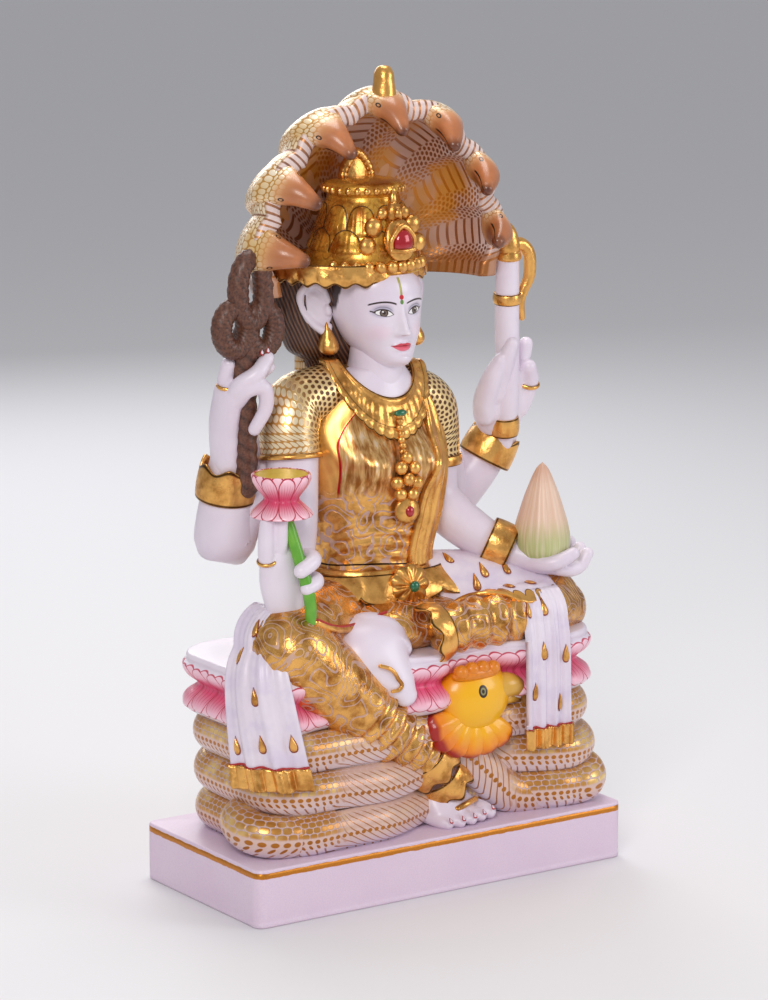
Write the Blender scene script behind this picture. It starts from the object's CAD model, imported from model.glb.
"""A painted marble idol: a four-armed goddess on a lotus and a coiled serpent, under a serpent hood.

Every form is a numpy surface in millimetres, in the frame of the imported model: +Z up, the goddess faces
-Y and her left hand is towards +X. The forms become meshes in metres when they are made.
"""

import math

import bpy
import numpy as np
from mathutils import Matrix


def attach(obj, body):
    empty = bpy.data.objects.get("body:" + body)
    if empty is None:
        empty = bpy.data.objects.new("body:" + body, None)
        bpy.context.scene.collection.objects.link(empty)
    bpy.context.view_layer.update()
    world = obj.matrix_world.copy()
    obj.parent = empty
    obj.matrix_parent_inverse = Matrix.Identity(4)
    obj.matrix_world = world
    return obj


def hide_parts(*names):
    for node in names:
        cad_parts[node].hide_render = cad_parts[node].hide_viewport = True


bl_info = {
    "name": "Painted Marble Idol",
    "version": (1, 0, 0),
    "blender": (4, 5, 0),
    "location": "View3D > Sidebar > Idol",
    "description": "Builds a painted and gilded marble goddess idol around its packed solid",
    "category": "Add Mesh",
}

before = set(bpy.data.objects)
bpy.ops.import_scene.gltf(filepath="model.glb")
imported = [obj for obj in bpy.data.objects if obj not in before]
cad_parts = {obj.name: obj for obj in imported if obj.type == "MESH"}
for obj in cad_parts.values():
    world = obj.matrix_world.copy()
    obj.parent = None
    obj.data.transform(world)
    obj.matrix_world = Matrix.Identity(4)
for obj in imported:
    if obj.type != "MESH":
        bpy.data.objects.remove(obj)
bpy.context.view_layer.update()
NODE = "marble_idol"
MM = 0.001
LEAN = 0.10
LEAN_HEIGHT = 415.0
LEAN_TOP = 470.0
AXIS_Y = 16.0
TAU = 2 * np.pi
UP = np.array([0.0, 0.0, 1.0])
FORWARD = np.array([0.0, -1.0, 0.0])
SIDEWAYS = np.array([1.0, 0.0, 0.0])

# Sizes shared by several forms, in millimetres. Plans are half sizes, a corner radius and a middle;
# a reach, shift or recess has one number for each coil, from the lowest up.
COIL_COUNT = 3
COIL_ROUND = 15.0
COIL_PLAN = dict(half_x=151.0, half_y=69.0, corner=38.0, x=3.0, y=-4.0)
COIL_REACH = (3.0, 3.0, 0.0)
COIL_SHIFT = (5.0, 4.0, 0.0)
COIL_RECESS = (32.0, 25.0, 6.0)
RECESS_MIDDLE = 28.0
RECESS_REACH = 88.0
LOOP_RADIUS = 16.0
SEAT_TOP = 181.0
PETALS = 40
# The waist of a lotus, how far its petals reach above and below, and the most that counts
SEAT_SPAN = (157.0, 16.5, 17.0, 1.3)
# The trunk by height: height, middle x, middle y, half width and half depth
TRUNK = np.array([
    [184, -2, 12, 64, 42], [212, -3, 13, 54, 40], [240, -4, 16, 45, 35], [276, -2, 15, 52, 36],
    [310, -2, 15, 57, 36], [338, -4, 19, 57, 33], [358, -4, 20, 48, 32], [374, -3, 18, 36, 26],
    [386, -2, 15, 24, 20],
], float)
BUST = dict(reach=23.0, height=318.0, rise=15.0, spread=17.0)
CROWN = (0.0, 22.0)
BRIM = (-8.0, 28.0, 462.0)
BRIM_PRESS = 0.35
HAIR_MIDDLE = -11.0
# The joined necks behind her: y of the middle, half width and half depth
BACK_TRUNK = (56.0, 44.0, 13.0)
HOOD_BASE = 446.0
HOOD_HALF_WIDTH = 113.0
HOOD_WIDEST = 470.0
HOOD_CREST = 592.0
HOOD_FRONT = 6.0
HOOD_BACK = 70.0
HOOD_FULLNESS = 0.6
HOOD_WALL = 15.0
HOOD_END = 0.955
LIP_SHARE = 0.13
HEAD_COUNT = 7
# Stops of a serpent's head: y, distance in from the rim, radius and breadth
HEAD_STOPS = ((-21, 27, 5.5, 0.9), (-16, 21.5, 8.2, 0.9), (-8, 15.5, 11.5, 0.85), (4, 10.5, 16, 0.66),
              (16, 6.5, 20, 0.40))
# Stops of its neck: way back from the rim, distance in from the surface, radius and breadth
NECK_STOPS = ((0.36, 5.5, 20, 0.40), (0.56, 5.5, 17, 0.42), (0.78, 6, 12, 0.5))
LOBE_DEPTH = 8.0
LOBE_MARGIN = math.radians(7)
# Crown leaves: their count, and where each row starts and ends as shares of the crown's profile
LEAVES = 10
LOW_LEAVES = (0.26, 0.15)
HIGH_LEAVES = (0.40, 0.16)
# The held lotus: its middle and petals
BLOOM = (-121.0, -44.0)
BLOOM_PETALS = 9
BLOOM_SPAN = (308.0, 19.0, 12.5, 1.2)
# Stops of limbs: x, y, z and radius
LEFT_THIGH = [[30, 6, 206, 33], [82, -6, 204, 31], [134, -24, 196, 24]]
LEFT_SHIN = [[138, -30, 191, 22], [100, -48, 195, 21], [56, -55, 197, 20], [18, -56, 195, 18]]
TOES = [(50 - 10 * i, -57 - 0.75 * i - 4 * math.sin(math.pi * i / 4), 51 - 0.75 * i, 5.2 if i else 6.5)
        for i in range(5)]

# The hanging cloths: their shares of the way round at top and hem, heights, and the knee under each
LEFT_CLOTH = ((0.903, 0.970), (0.934, 0.996), 227, 98, (44, 31, 198))
RIGHT_CLOTH = ((0.230, 0.275), (0.230, 0.275), 217, 98, (28.5, 24, 195))
LEFT_DROPS = ((0.46, 0.10), (0.20, 0.26), (0.52, 0.46), (0.10, 0.76), (0.50, 0.73), (0.88, 0.72))
RIGHT_DROPS = ((0.45, 0.10), (0.05, 0.10), (0.33, 0.37), (0.90, 0.41), (0.15, 0.63), (0.74, 0.72))
THIGH_DROPS = ((0.33, 0.68), (0.43, 0.60), (0.64, 0.60), (0.52, 0.79), (0.75, 0.77), (0.20, 0.50))

# Proportions of the face: equal thirds from hairline to chin, and eyes a fifth of the head's width
NOSE_BASE = 412.5
MOUTH = 404.8
MOUTH_HALF = 8.6
EYE = (13.4, 430.0)
LID_RISE = 3.1
LID_FALL = 2.1
EYE_HALF = 6.7
BROW = (14.2, 437.2)

# The photo's view, from which the part is shown
VIEW = dict(azimuth=math.radians(-34.1), elevation=math.radians(11.8), distance=3.0, lens=144.6)
AIM = (-0.0019, 0.0, 0.2855)


def colour(code):
    """Linear red, green, blue and alpha from a web colour such as 'd2a040'."""
    parts = [int(code[i:i + 2], 16) / 255 for i in (0, 2, 4)]
    linear = [p / 12.92 if p <= 0.04045 else ((p + 0.055) / 1.055) ** 2.4 for p in parts]
    return (*linear, 1.0)


def size_property(name, note, metres):
    """A length that the panel shows."""
    return bpy.props.FloatProperty(name=name, description=note, default=metres, unit="LENGTH")


def colour_property(name, note, code):
    """A colour that the panel shows, from its web colour."""
    return bpy.props.FloatVectorProperty(
        name=name, description=note, subtype="COLOR", size=4, default=colour(code))


class IdolSizes(bpy.types.PropertyGroup):
    """Sizes that a user would change, in metres."""

    plinth_width: size_property("Plinth width", "Length of the plinth along X", 0.330)
    plinth_depth: size_property("Plinth depth", "Length of the plinth along Y", 0.158)
    plinth_height: size_property("Plinth height", "Thickness of the plinth", 0.044)
    coil_height: size_property("Coil height", "Rise of each serpent coil", 0.0305)
    total_height: size_property("Total height", "Height to the tip of the finial", 0.610)
    scale_pitch: size_property("Scale pitch", "Spacing of the serpent's painted scales", 0.0056)


class IdolColours(bpy.types.PropertyGroup):
    """Paint colours that a user would change."""

    marble: colour_property("Marble", "Polished stone", "e9dfea")
    gold: colour_property("Gold", "Bright gilding", "f3b866")
    deep_gold: colour_property("Deep gold", "Gilding in the hollows", "93500e")
    outline: colour_property("Outline", "Fine dark lines", "2a160c")
    serpent: colour_property("Serpent heads", "Terracotta of the heads", "b06c42")
    vein: colour_property("Petal vein", "Crimson strokes", "c2304f")


# Shader arithmetic


def arithmetic(operation, swapped=False):
    """A method that adds one Math node with the wire and the other values, or in swapped order."""
    def method(wire, *others):
        values = [*others, wire] if swapped else [wire, *others]
        return wire.paint.node("ShaderNodeMath", {"operation": operation}, values)
    return method


class Wire:
    """A shader socket that takes part in arithmetic: each operation on values adds a Math node."""

    __add__ = __radd__ = arithmetic("ADD")
    __mul__ = __rmul__ = arithmetic("MULTIPLY")
    __sub__ = arithmetic("SUBTRACT")
    __rsub__ = arithmetic("SUBTRACT", swapped=True)
    __truediv__ = arithmetic("DIVIDE")
    __rtruediv__ = arithmetic("DIVIDE", swapped=True)
    __pow__ = arithmetic("POWER")
    __abs__ = arithmetic("ABSOLUTE")
    floor = arithmetic("FLOOR")
    fract = arithmetic("FRACT")
    sin = arithmetic("SINE")
    least = arithmetic("MINIMUM")
    most = arithmetic("MAXIMUM")

    def __init__(self, paint, socket):
        self.paint = paint
        self.socket = socket

    def ramp(self, low, high):
        """0 below low and 1 above high, eased in between; high may be the lower one."""
        rising = high > low
        values = {0: self, 1: min(low, high), 2: max(low, high), 3: float(not rising), 4: float(rising)}
        return self.paint.node("ShaderNodeMapRange", {"interpolation_type": "SMOOTHSTEP"}, values)


class Paint:
    """A node material under construction, with one method for any node."""

    def __init__(self, name):
        self.material = bpy.data.materials.new(name)
        self.material.use_nodes = True
        self.tree = self.material.node_tree
        self.tree.nodes.clear()
        self.shader = self.tree.nodes.new("ShaderNodeBsdfPrincipled")
        output = self.tree.nodes.new("ShaderNodeOutputMaterial")
        self.tree.links.new(self.shader.outputs[0], output.inputs[0])
        self.colours = bpy.context.scene.idol_colours
        place = self.node("ShaderNodeTexCoord", None, (), "Object")
        self.spot = self.node("ShaderNodeVectorMath", {"operation": "SCALE"}, {0: place, "Scale": 1 / MM})

    def feed(self, socket, value):
        """Sets a socket from a wire, a number, a vector or a web colour."""
        if isinstance(value, str):
            value = colour(value)
        if isinstance(value, Wire):
            self.tree.links.new(value.socket, socket)
        elif hasattr(socket.default_value, "__len__"):
            socket.default_value = tuple(value)[:len(socket.default_value)]
        else:
            socket.default_value = value

    def node(self, kind, settings=None, values=(), output=0):
        """Adds a node of a kind: its settings first, then the values or wires of its sockets."""
        made = self.tree.nodes.new(kind)
        for key, setting in (settings or {}).items():
            setattr(made, key, setting)
        pairs = values.items() if isinstance(values, dict) else enumerate(values)
        for key, value in pairs:
            self.feed(made.inputs[key], value)
        return Wire(self, made.outputs[output])

    def split(self, vector):
        """The three numbers of a vector."""
        return [self.node("ShaderNodeSeparateXYZ", None, [vector], i) for i in range(3)]

    def place(self):
        """The point on the idol, as x, y and z in millimetres."""
        return self.split(self.spot)

    def flow(self):
        """The two numbers of the piece's own map."""
        return self.split(self.node("ShaderNodeUVMap"))[:2]

    def tone(self):
        """The tone stored at each spot of the mesh: 1 where the paint is darkest."""
        return self.node("ShaderNodeAttribute", {"attribute_name": "tone"}, (), "Fac")

    def noise(self, scale, detail=3.0, roughness=0.55, at=None):
        """Noise at the point on the idol, or at another vector."""
        values = {"Vector": at or self.spot, "Scale": scale, "Detail": detail, "Roughness": roughness}
        return self.node("ShaderNodeTexNoise", None, values)

    def point(self, x, y, z):
        """A vector from its three numbers."""
        return self.node("ShaderNodeCombineXYZ", None, [x, y, z])

    def mix(self, share, low, high):
        """The low colour where the share is 0, and the high one where it is 1."""
        return self.node("ShaderNodeMix", {"data_type": "RGBA"}, {0: share, 6: low, 7: high}, 2)

    def cover(self, base, *layers):
        """Lays colours over each other: each layer is its share and its colour."""
        for share, layer in layers:
            base = self.mix(share, base, layer)
        return base

    def band(self, value, middle, half, soft):
        """1 where a value is within half of the middle, fading over soft."""
        return abs(value - middle).ramp(half + soft, half)

    def oval(self, x, z, middle, half):
        """Distance from the middle of an oval: 1 on its edge."""
        across = (x - middle[0]) / half[0]
        along = (z - middle[1]) / half[1]
        return (across * across + along * along) ** 0.5

    def cells(self, across, along, power=2.0):
        """Distance from the middle of staggered cells: 0 in the middle, near 0.5 at the sides."""
        row = along.floor()
        shift = (row * 0.5).fract()
        fx = abs((across + shift).fract() - 0.5)
        fy = abs(along.fract() - 0.5)
        return (fx ** power + fy ** power) ** (1.0 / power)

    def finish(self, base, metallic=0.0, roughness=0.4, height=None, depth=0.3, coat=0.0,
               coat_roughness=0.1):
        """Sets the shader: height is a wire from 0 to 1 and depth its size in millimetres."""
        for name, value in (("Base Color", base), ("Metallic", metallic), ("Roughness", roughness),
                            ("Coat Weight", coat)):
            self.feed(self.shader.inputs[name], value)
        self.shader.inputs["Coat Roughness"].default_value = coat_roughness
        if height is not None:
            values = {"Height": height, "Distance": depth * MM, "Strength": 1.0}
            self.feed(self.shader.inputs["Normal"], self.node("ShaderNodeBump", None, values))
        return self.material


# Surfaces


def spline(stops, t):
    """A smooth curve through rows of numbers: each stretch is the cubic set by its four nearest rows."""
    rows = np.asarray(stops, float)
    rows = np.vstack([2 * rows[0] - rows[1], rows, 2 * rows[-1] - rows[-2]])
    count = len(rows) - 3
    place = np.clip(t, 0, 1) * count
    first = np.minimum(place.astype(int), count - 1)
    f = (place - first)[..., None]
    a, b, c, d = (rows[first + k] for k in range(4))
    return 0.5 * (2 * b + (c - a) * f + (2 * a - 5 * b + 4 * c - d) * f ** 2
                  + (3 * b - a - 3 * c + d) * f ** 3)


def grid(*parts):
    """Points or map places from their parts, of any shapes that fit each other."""
    return np.stack(np.broadcast_arrays(*parts), -1)


def unit(vectors):
    """The same directions with a length of one."""
    vectors = np.asarray(vectors, float)
    return vectors / np.maximum(np.linalg.norm(vectors, axis=-1, keepdims=True), 1e-12)


def swell(value, middle, width):
    """A smooth hump: 1 at the middle and fading with distance over the width."""
    return np.exp(-((value - middle) / width) ** 2)


def skin(points, ends="pole", flow=None, tone=None):
    """A closed skin from points[row, column]. Columns wrap round; ends meet in a point or zip together."""
    rows, cols = points.shape[:2]
    down, around = np.mgrid[0:rows, 0:cols + 1]
    if flow is None:
        flow = np.stack([around / cols, down / (rows - 1)], -1)
    tone = np.zeros((rows, cols)) if tone is None else tone
    c = np.arange(cols)
    after = (c + 1) % cols
    if ends == "pole":
        number = lambda r, k: 1 + (r - 1) * cols + k
        spots = np.vstack([points[0].mean(0), points[1:-1].reshape(-1, 3), points[-1].mean(0)])
        tones = np.concatenate([[tone[0].mean()], tone[1:-1].ravel(), [tone[-1].mean()]])
        inner = np.arange(1, rows - 2)
        last = np.full(cols, len(spots) - 1)
        first = np.zeros(cols, int)
        tris = np.concatenate([
            np.stack([first, number(1, after), number(1, c)], -1),
            np.stack([number(rows - 2, c), number(rows - 2, after), last], -1),
        ])
        tri_flow = np.concatenate([
            np.stack([flow[0, c], flow[1, c + 1], flow[1, c]], 1),
            np.stack([flow[-2, c], flow[-2, c + 1], flow[-1, c]], 1),
        ])
    else:
        number = lambda r, k: r * cols + k
        spots = points.reshape(-1, 3)
        tones = tone.ravel()
        inner = np.arange(rows - 1)
        tris = np.zeros((0, 3), int)
        tri_flow = np.zeros((0, 3, 2))
    r = inner[:, None]
    quads = grid(number(r, c), number(r, after), number(r + 1, after), number(r + 1, c)).reshape(-1, 4)
    g = np.broadcast_to(r, (len(inner), cols))
    quad_flow = np.stack([flow[g, c], flow[g, c + 1], flow[g + 1, c + 1], flow[g + 1, c]], 2)
    quad_flow = quad_flow.reshape(-1, 4, 2)
    if ends == "zip":
        k = np.arange(cols // 2 - 1)
        far = cols - 1 - k
        for row, places in ((0, (k + 1, k, far, far - 1)), (rows - 1, (k, k + 1, far - 1, far))):
            quads = np.vstack([quads, grid(*(number(row, place) for place in places))])
            quad_flow = np.vstack([quad_flow, np.stack([flow[row, place] for place in places], 1)])
    return outward(spots, quads, tris, quad_flow, tri_flow, tones)


def outward(spots, quads, tris, quad_flow, tri_flow, tones):
    """Gathers a skin, with its faces turned over where they enclose a negative volume."""
    a, b, d, e = (spots[quads[:, i]] for i in range(4))
    volume = np.sum(a * np.cross(b, d)) + np.sum(a * np.cross(d, e))
    volume += np.sum(spots[tris[:, 0]] * np.cross(spots[tris[:, 1]], spots[tris[:, 2]]))
    if volume < 0:
        quads, quad_flow = quads[:, ::-1], quad_flow[:, ::-1]
        tris, tri_flow = tris[:, ::-1], tri_flow[:, ::-1]
    return dict(spots=spots, quads=quads, tris=tris, quad_flow=quad_flow, tri_flow=tri_flow, tones=tones)


def piece(name, skins, material, remesh=0.0, soften=0):
    """Joins skins into one mesh object that stands for the idol's solid.

    Remesh is the size in millimetres of the voxels that merge the skins, and soften a count of smoothings.
    """
    spots, faces, flows, start = [], [], [], 0
    for part in skins:
        spots.append(part["spots"])
        faces += (part["quads"] + start).tolist() + (part["tris"] + start).tolist()
        flows += [part["quad_flow"].reshape(-1, 2), part["tri_flow"].reshape(-1, 2)]
        start += len(part["spots"])
    mesh = bpy.data.meshes.new(name)
    mesh.from_pydata(np.vstack(spots) * MM, [], faces)
    mesh.polygons.foreach_set("use_smooth", np.ones(len(faces), bool))
    mesh.uv_layers.new(name="UVMap").data.foreach_set("uv", np.vstack(flows).astype(np.float32).ravel())
    tones = np.concatenate([part["tones"] for part in skins]).astype(np.float32)
    mesh.attributes.new("tone", "FLOAT", "POINT").data.foreach_set("value", tones)
    mesh.materials.append(material)
    mesh.update()
    made = bpy.data.objects.new(name, mesh)
    bpy.context.scene.collection.objects.link(made)
    if remesh:
        modifier = made.modifiers.new("Joined", "REMESH")
        modifier.mode = "VOXEL"
        modifier.voxel_size = remesh * MM
        modifier.use_smooth_shade = True
    if soften:
        modifier = made.modifiers.new("Softened", "SMOOTH")
        modifier.factor = 0.5
        modifier.iterations = soften
    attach(made, "root")
    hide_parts(NODE)
    return made


def limb(stops, side=SIDEWAYS, rows=40, cols=36, relief=None, pitch=1.0, ends=7, tone=None, blunt=1.0):
    """A rounded bar along a smooth route. Each stop is [x, y, z, radius, breadth].

    Each section is an oval across the route: radius times breadth along the side direction, and radius
    across it. Its ends are half balls, flattened by blunt. relief(length, angle) adds to the radius, in
    millimetres. The map holds length / pitch and the angle from -1 to 1, which is 0 on the side direction.
    """
    full = np.array([list(s) + [1.0] * (5 - len(s)) for s in stops], float)
    bend = np.linspace(0, np.pi / 2, ends + 1)
    t = np.concatenate([np.zeros(ends), np.linspace(0, 1, rows), np.ones(ends)])
    past = np.concatenate([-np.sin(bend[:0:-1]), np.zeros(rows), np.sin(bend[1:])])
    shrink = np.concatenate([np.cos(bend[:0:-1]), np.ones(rows), np.cos(bend[1:])])
    line = spline(full, t)
    step = 1e-3
    along = unit(spline(full, np.minimum(t + step, 1))[:, :3]
                 - spline(full, np.maximum(t - step, 0))[:, :3])
    across = unit(side - (along @ side)[:, None] * along)
    over = np.cross(along, across)
    middle = line[:, :3] + along * (past * line[:, 3] * blunt)[:, None]
    length = np.concatenate([[0], np.cumsum(np.linalg.norm(np.diff(middle, axis=0), axis=1))])
    angle = -np.pi + TAU * np.arange(cols) / cols
    extra = 0.0 if relief is None else relief(length[:, None], angle[None, :])
    size = line[:, 3:4] + extra
    wide = size * line[:, 4:5] * shrink[:, None]
    tall = size * shrink[:, None]
    points = (middle[:, None] + across[:, None] * (wide * np.cos(angle))[..., None]
              + over[:, None] * (tall * np.sin(angle))[..., None])
    turn = np.linspace(-1, 1, cols + 1)
    flow = grid(length[:, None] / pitch, turn[None, :])
    tones = None if tone is None else np.broadcast_to(tone(length[:, None], angle[None, :]), size.shape)
    return skin(points, "pole", flow, tones)


def capped(points):
    """The same rows with the first and the last doubled, so that they close as flat ends."""
    return np.concatenate([points[:1], points, points[-1:]])


def ball(middle, half, rows=16, cols=24, turn=(0, 0, 0), shape=None):
    """An egg-shaped form with its own half sizes, leaning by angles about X, Y and Z.

    shape(height, angle) scales each spot, where height runs from -1 to 1.
    """
    fall = np.linspace(0, np.pi, rows)[:, None]
    angle = TAU * np.arange(cols)[None, :] / cols
    points = grid(np.sin(fall) * np.sin(angle), -np.sin(fall) * np.cos(angle), np.cos(fall)) * half
    if shape:
        points = points * shape(np.cos(fall), angle)[..., None]
    return skin(points @ rotation(turn).T + middle)


def rotation(turn):
    """The matrix that turns about X, then Y, then Z."""
    matrix = np.eye(3)
    for axis, angle in enumerate(turn):
        c, s = math.cos(angle), math.sin(angle)
        i, j = [(1, 2), (2, 0), (0, 1)][axis]
        step = np.eye(3)
        step[i, i], step[i, j], step[j, i], step[j, j] = c, -s, s, c
        matrix = step @ matrix
    return matrix


def turned(profile, middle, cols=64, relief=None, smooth=6, axis=UP):
    """A profile of [radius, height] turned round an axis; relief(share, angle) adds to the radius."""
    steps = np.linspace(0, 1, (len(profile) - 1) * smooth + 1)
    line = spline(profile, steps)
    line[:, 0] = np.maximum(line[:, 0], 0)
    line[[0, -1], 0] = 0
    angle = TAU * np.arange(cols) / cols
    extra = relief(steps[:, None], angle[None, :]) if relief else 0
    radius = np.broadcast_to(line[:, :1] + extra * (line[:, :1] > 0), (len(steps), cols))
    axis = unit(axis)
    wide = unit(SIDEWAYS - (axis @ SIDEWAYS) * axis)
    deep = np.cross(axis, wide)
    points = (middle + line[:, None, 1:2] * axis
              + radius[..., None] * (np.sin(angle)[:, None] * wide + np.cos(angle)[:, None] * deep))
    return skin(points)


def hoop(points, thick, tone=None):
    """A band that closes on itself: points[step round, step across] outside, and a coarser copy inside.

    The inside is each fifth step across, moved in along the outside's normal by the thickness.
    """
    round_it = np.roll(points, -1, 0) - np.roll(points, 1, 0)
    normal = unit(np.cross(round_it, np.gradient(points, axis=1)))
    if np.sum(normal * (points - points.mean((0, 1)))) < 0:
        normal = -normal
    tone = np.zeros(points.shape[:2]) if tone is None else tone
    inside = (points - normal * thick)[:, ::-5]
    return ring(np.concatenate([points, inside], 1), np.concatenate([tone, 0 * tone[:, ::-5]], 1))


def cuff(middle, axis, radius, height, flare=1.0, scallops=0, breadth=1.0, lip=0.3, knobs=0.0, wall=2.4,
         cols=112):
    """A domed band round a limb: its far rim waves in scallops, and both rims have a thin dark outline."""
    axis = unit(axis)
    guide = UP if abs(axis[0]) > 0.9 else SIDEWAYS
    across = unit(guide - (axis @ guide) * axis)
    over = np.cross(axis, across)
    angle = TAU * np.arange(cols)[:, None] / cols
    share = np.linspace(0, 1, 31)[None, :]
    wave = (0.5 + 0.5 * np.cos(angle * scallops)) * (scallops > 0)
    bumps = knobs * swell(share, 0.66, 0.22) * (wave ** 0.5 - 0.4)
    size = radius * (1 + (flare - 1) * share) + wall * 0.5 + 1.1 * np.sin(share * np.pi) ** 0.6 + bumps
    along = (share - 0.5) * height + wave * height * lip * share ** 3
    points = (middle + along[..., None] * axis + (size * np.cos(angle))[..., None] * across * breadth
              + (size * np.sin(angle))[..., None] * over)
    rims = swell(share, 0.05, 0.028) + swell(share, 0.95, 0.028)
    return hoop(points, wall, rims + 0 * angle)


def ring(points, tone=None):
    """A closed skin that wraps both ways: points[step round, step round the section]."""
    rows, cols = points.shape[:2]
    down, around = np.mgrid[0:rows, 0:cols]
    corners = ((0, 0), (0, 1), (1, 1), (1, 0))
    quads = np.stack([(down + i) % rows * cols + (around + k) % cols for i, k in corners], -1)
    flow = np.stack([np.stack([(down + i) / rows, (around + k) / cols], -1) for i, k in corners], 2)
    tones = np.zeros(rows * cols) if tone is None else tone.ravel()
    return outward(points.reshape(-1, 3), quads.reshape(-1, 4), np.zeros((0, 3), int),
                   flow.reshape(-1, 4, 2), np.zeros((0, 3, 2)), tones)


def plan(share, out=0.0, half_x=0.0, half_y=0.0, corner=0.0, x=0.0, y=0.0):
    """A rounded rectangle by the share of the way round, from its front left to the right, moved outwards.

    Four straight sides and four quarter circles follow each other by length. Returns x and y.
    """
    straight_x, straight_y, bend = 2 * (half_x - corner), 2 * (half_y - corner), np.pi / 2 * corner
    lengths = np.array([straight_x, bend, straight_y, bend, straight_x, bend, straight_y, bend])
    ends = np.cumsum(lengths)
    place = np.mod(share, 1.0) * ends[-1]
    part = np.minimum(np.searchsorted(ends, place, side="right"), 7)
    local = (place - (ends - lengths)[part]) / lengths[part]
    side, on_bend = part // 2, part % 2 == 1
    direction = -np.pi / 2 + side * np.pi / 2 + np.where(on_bend, local * np.pi / 2, 0)
    core_x, core_y = half_x - corner, half_y - corner
    corners_x = np.array([-core_x, core_x, core_x, -core_x])
    corners_y = np.array([-core_y, -core_y, core_y, core_y])
    start_x, start_y = corners_x[side], corners_y[side]
    end_x, end_y = corners_x[(side + 1) % 4], corners_y[(side + 1) % 4]
    base_x = np.where(on_bend, end_x, start_x + (end_x - start_x) * local)
    base_y = np.where(on_bend, end_y, start_y + (end_y - start_y) * local)
    reach = corner + out
    return x + base_x + reach * np.cos(direction), y + base_y + reach * np.sin(direction)


def sheet(across, down, surface, thick=2.0, tone=None):
    """A closed slab over surface(u, v): its points, and the same points moved in by the thickness.

    The inward direction is the normal of the grid, from the cross product of its two differences, and it
    points towards the idol's upright axis. tone(u, v) darkens the outer side.
    """
    v, u = np.meshgrid(np.linspace(0, 1, down), np.linspace(0, 1, across), indexing="ij")
    front = surface(u, v)
    normal = unit(np.cross(np.gradient(front, axis=1), np.gradient(front, axis=0)))
    away = front - np.array([0.0, AXIS_Y, 0.0])
    if np.sum(normal[..., :2] * away[..., :2]) < 0:
        normal = -normal
    points = np.concatenate([front, (front - normal * thick)[:, ::-1]], 1)
    flow = np.stack([u, v], -1)
    flow = np.concatenate([flow, flow[:, ::-1], flow[:, :1]], 1)
    dark = np.zeros(u.shape) if tone is None else tone(u, v)
    return skin(points, "zip", flow, np.concatenate([dark, 0 * dark], 1))


def drop(middle, normal, down, half_width, half_height, rise):
    """A flat drop with its point upwards: a half-sized egg whose width grows as it falls."""
    fall = np.linspace(0, np.pi, 12)[:, None]
    angle = TAU * np.arange(16)[None, :] / 16
    normal = unit(normal)
    down = unit(down - (normal @ down) * normal)
    aside = np.cross(normal, down)
    width = half_width * np.sin(fall) * (0.55 - 0.45 * np.cos(fall))
    points = (middle + (-half_height * np.cos(fall))[..., None] * down * np.ones((1, 16, 1))
              + (width * np.cos(angle))[..., None] * aside
              + (rise * np.sin(fall) * np.sin(angle))[..., None] * normal)
    return skin(points)


# Materials: what the stone is painted and gilded with

TAN = "c88a3e"
PALE_GOLD = "f9d78e"
LILAC = "c4a7a6"
BROWN_GOLD = "96560f"
AMBER = "c47a18"
RED = "b3121a"


def stone(p):
    """White marble with slow cool and warm clouds."""
    cloud = p.noise(0.018, 4.0)
    return p.mix(cloud.ramp(0.32, 0.72) * 0.6, p.colours.marble, "dccadc")


def gilding(p, shade=0.5):
    """Gold leaf: bright and deep patches, with dark outlines and hollows where the form asks for them."""
    patch = p.noise(0.07, 5.0, 0.6)
    worn = p.mix(patch.ramp(0.40, 0.72) * shade, p.colours.gold, p.colours.deep_gold)
    return p.mix((p.tone() * 1.3).least(1.0), worn, "2e1606")


def engraving(p, size, pitch, width=0.10):
    """Engraved lines: even rings round scattered middles, measured from a point that drifts unevenly."""
    drift = p.node("ShaderNodeTexNoise", None, {"Vector": p.spot, "Scale": 0.035, "Detail": 1.0}, 1)
    push = p.node("ShaderNodeVectorMath", {"operation": "SCALE"}, {0: drift, "Scale": size * 1.3})
    moved = p.node("ShaderNodeVectorMath", {"operation": "ADD"}, {0: p.spot, 1: push})
    reach = p.node("ShaderNodeTexVoronoi", {"feature": "F1"}, {"Vector": moved, "Scale": 1 / size})
    return p.band((reach * (size / pitch)).fract(), 0.5, width, width * 0.6)


def plinth_paint():
    """Pinker marble with an uneven gold line near the top."""
    p = Paint("plinth_marble")
    x, y, z = p.place()
    line = p.band(z + (p.noise(0.12, 2.0) - 0.5) * 1.6, 39.4, 2.0, 0.35)
    grain = p.noise(0.9)
    base = p.cover(stone(p), (0.55, "dfc2d6"), (grain.ramp(0.35, 0.7) * 0.25, "c9b2d6"),
                   (line, p.mix(grain, "d98f2a", "a85f12")))
    return p.finish(base, line * 0.55, 0.42 - line * 0.1, grain, 0.06)


def marble_paint():
    """Bare polished marble."""
    p = Paint("polished_marble")
    grain = p.noise(0.5, 4.0)
    return p.finish(stone(p), 0.0, 0.30 + grain * 0.12, grain, 0.03, 0.15, 0.2)


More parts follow.
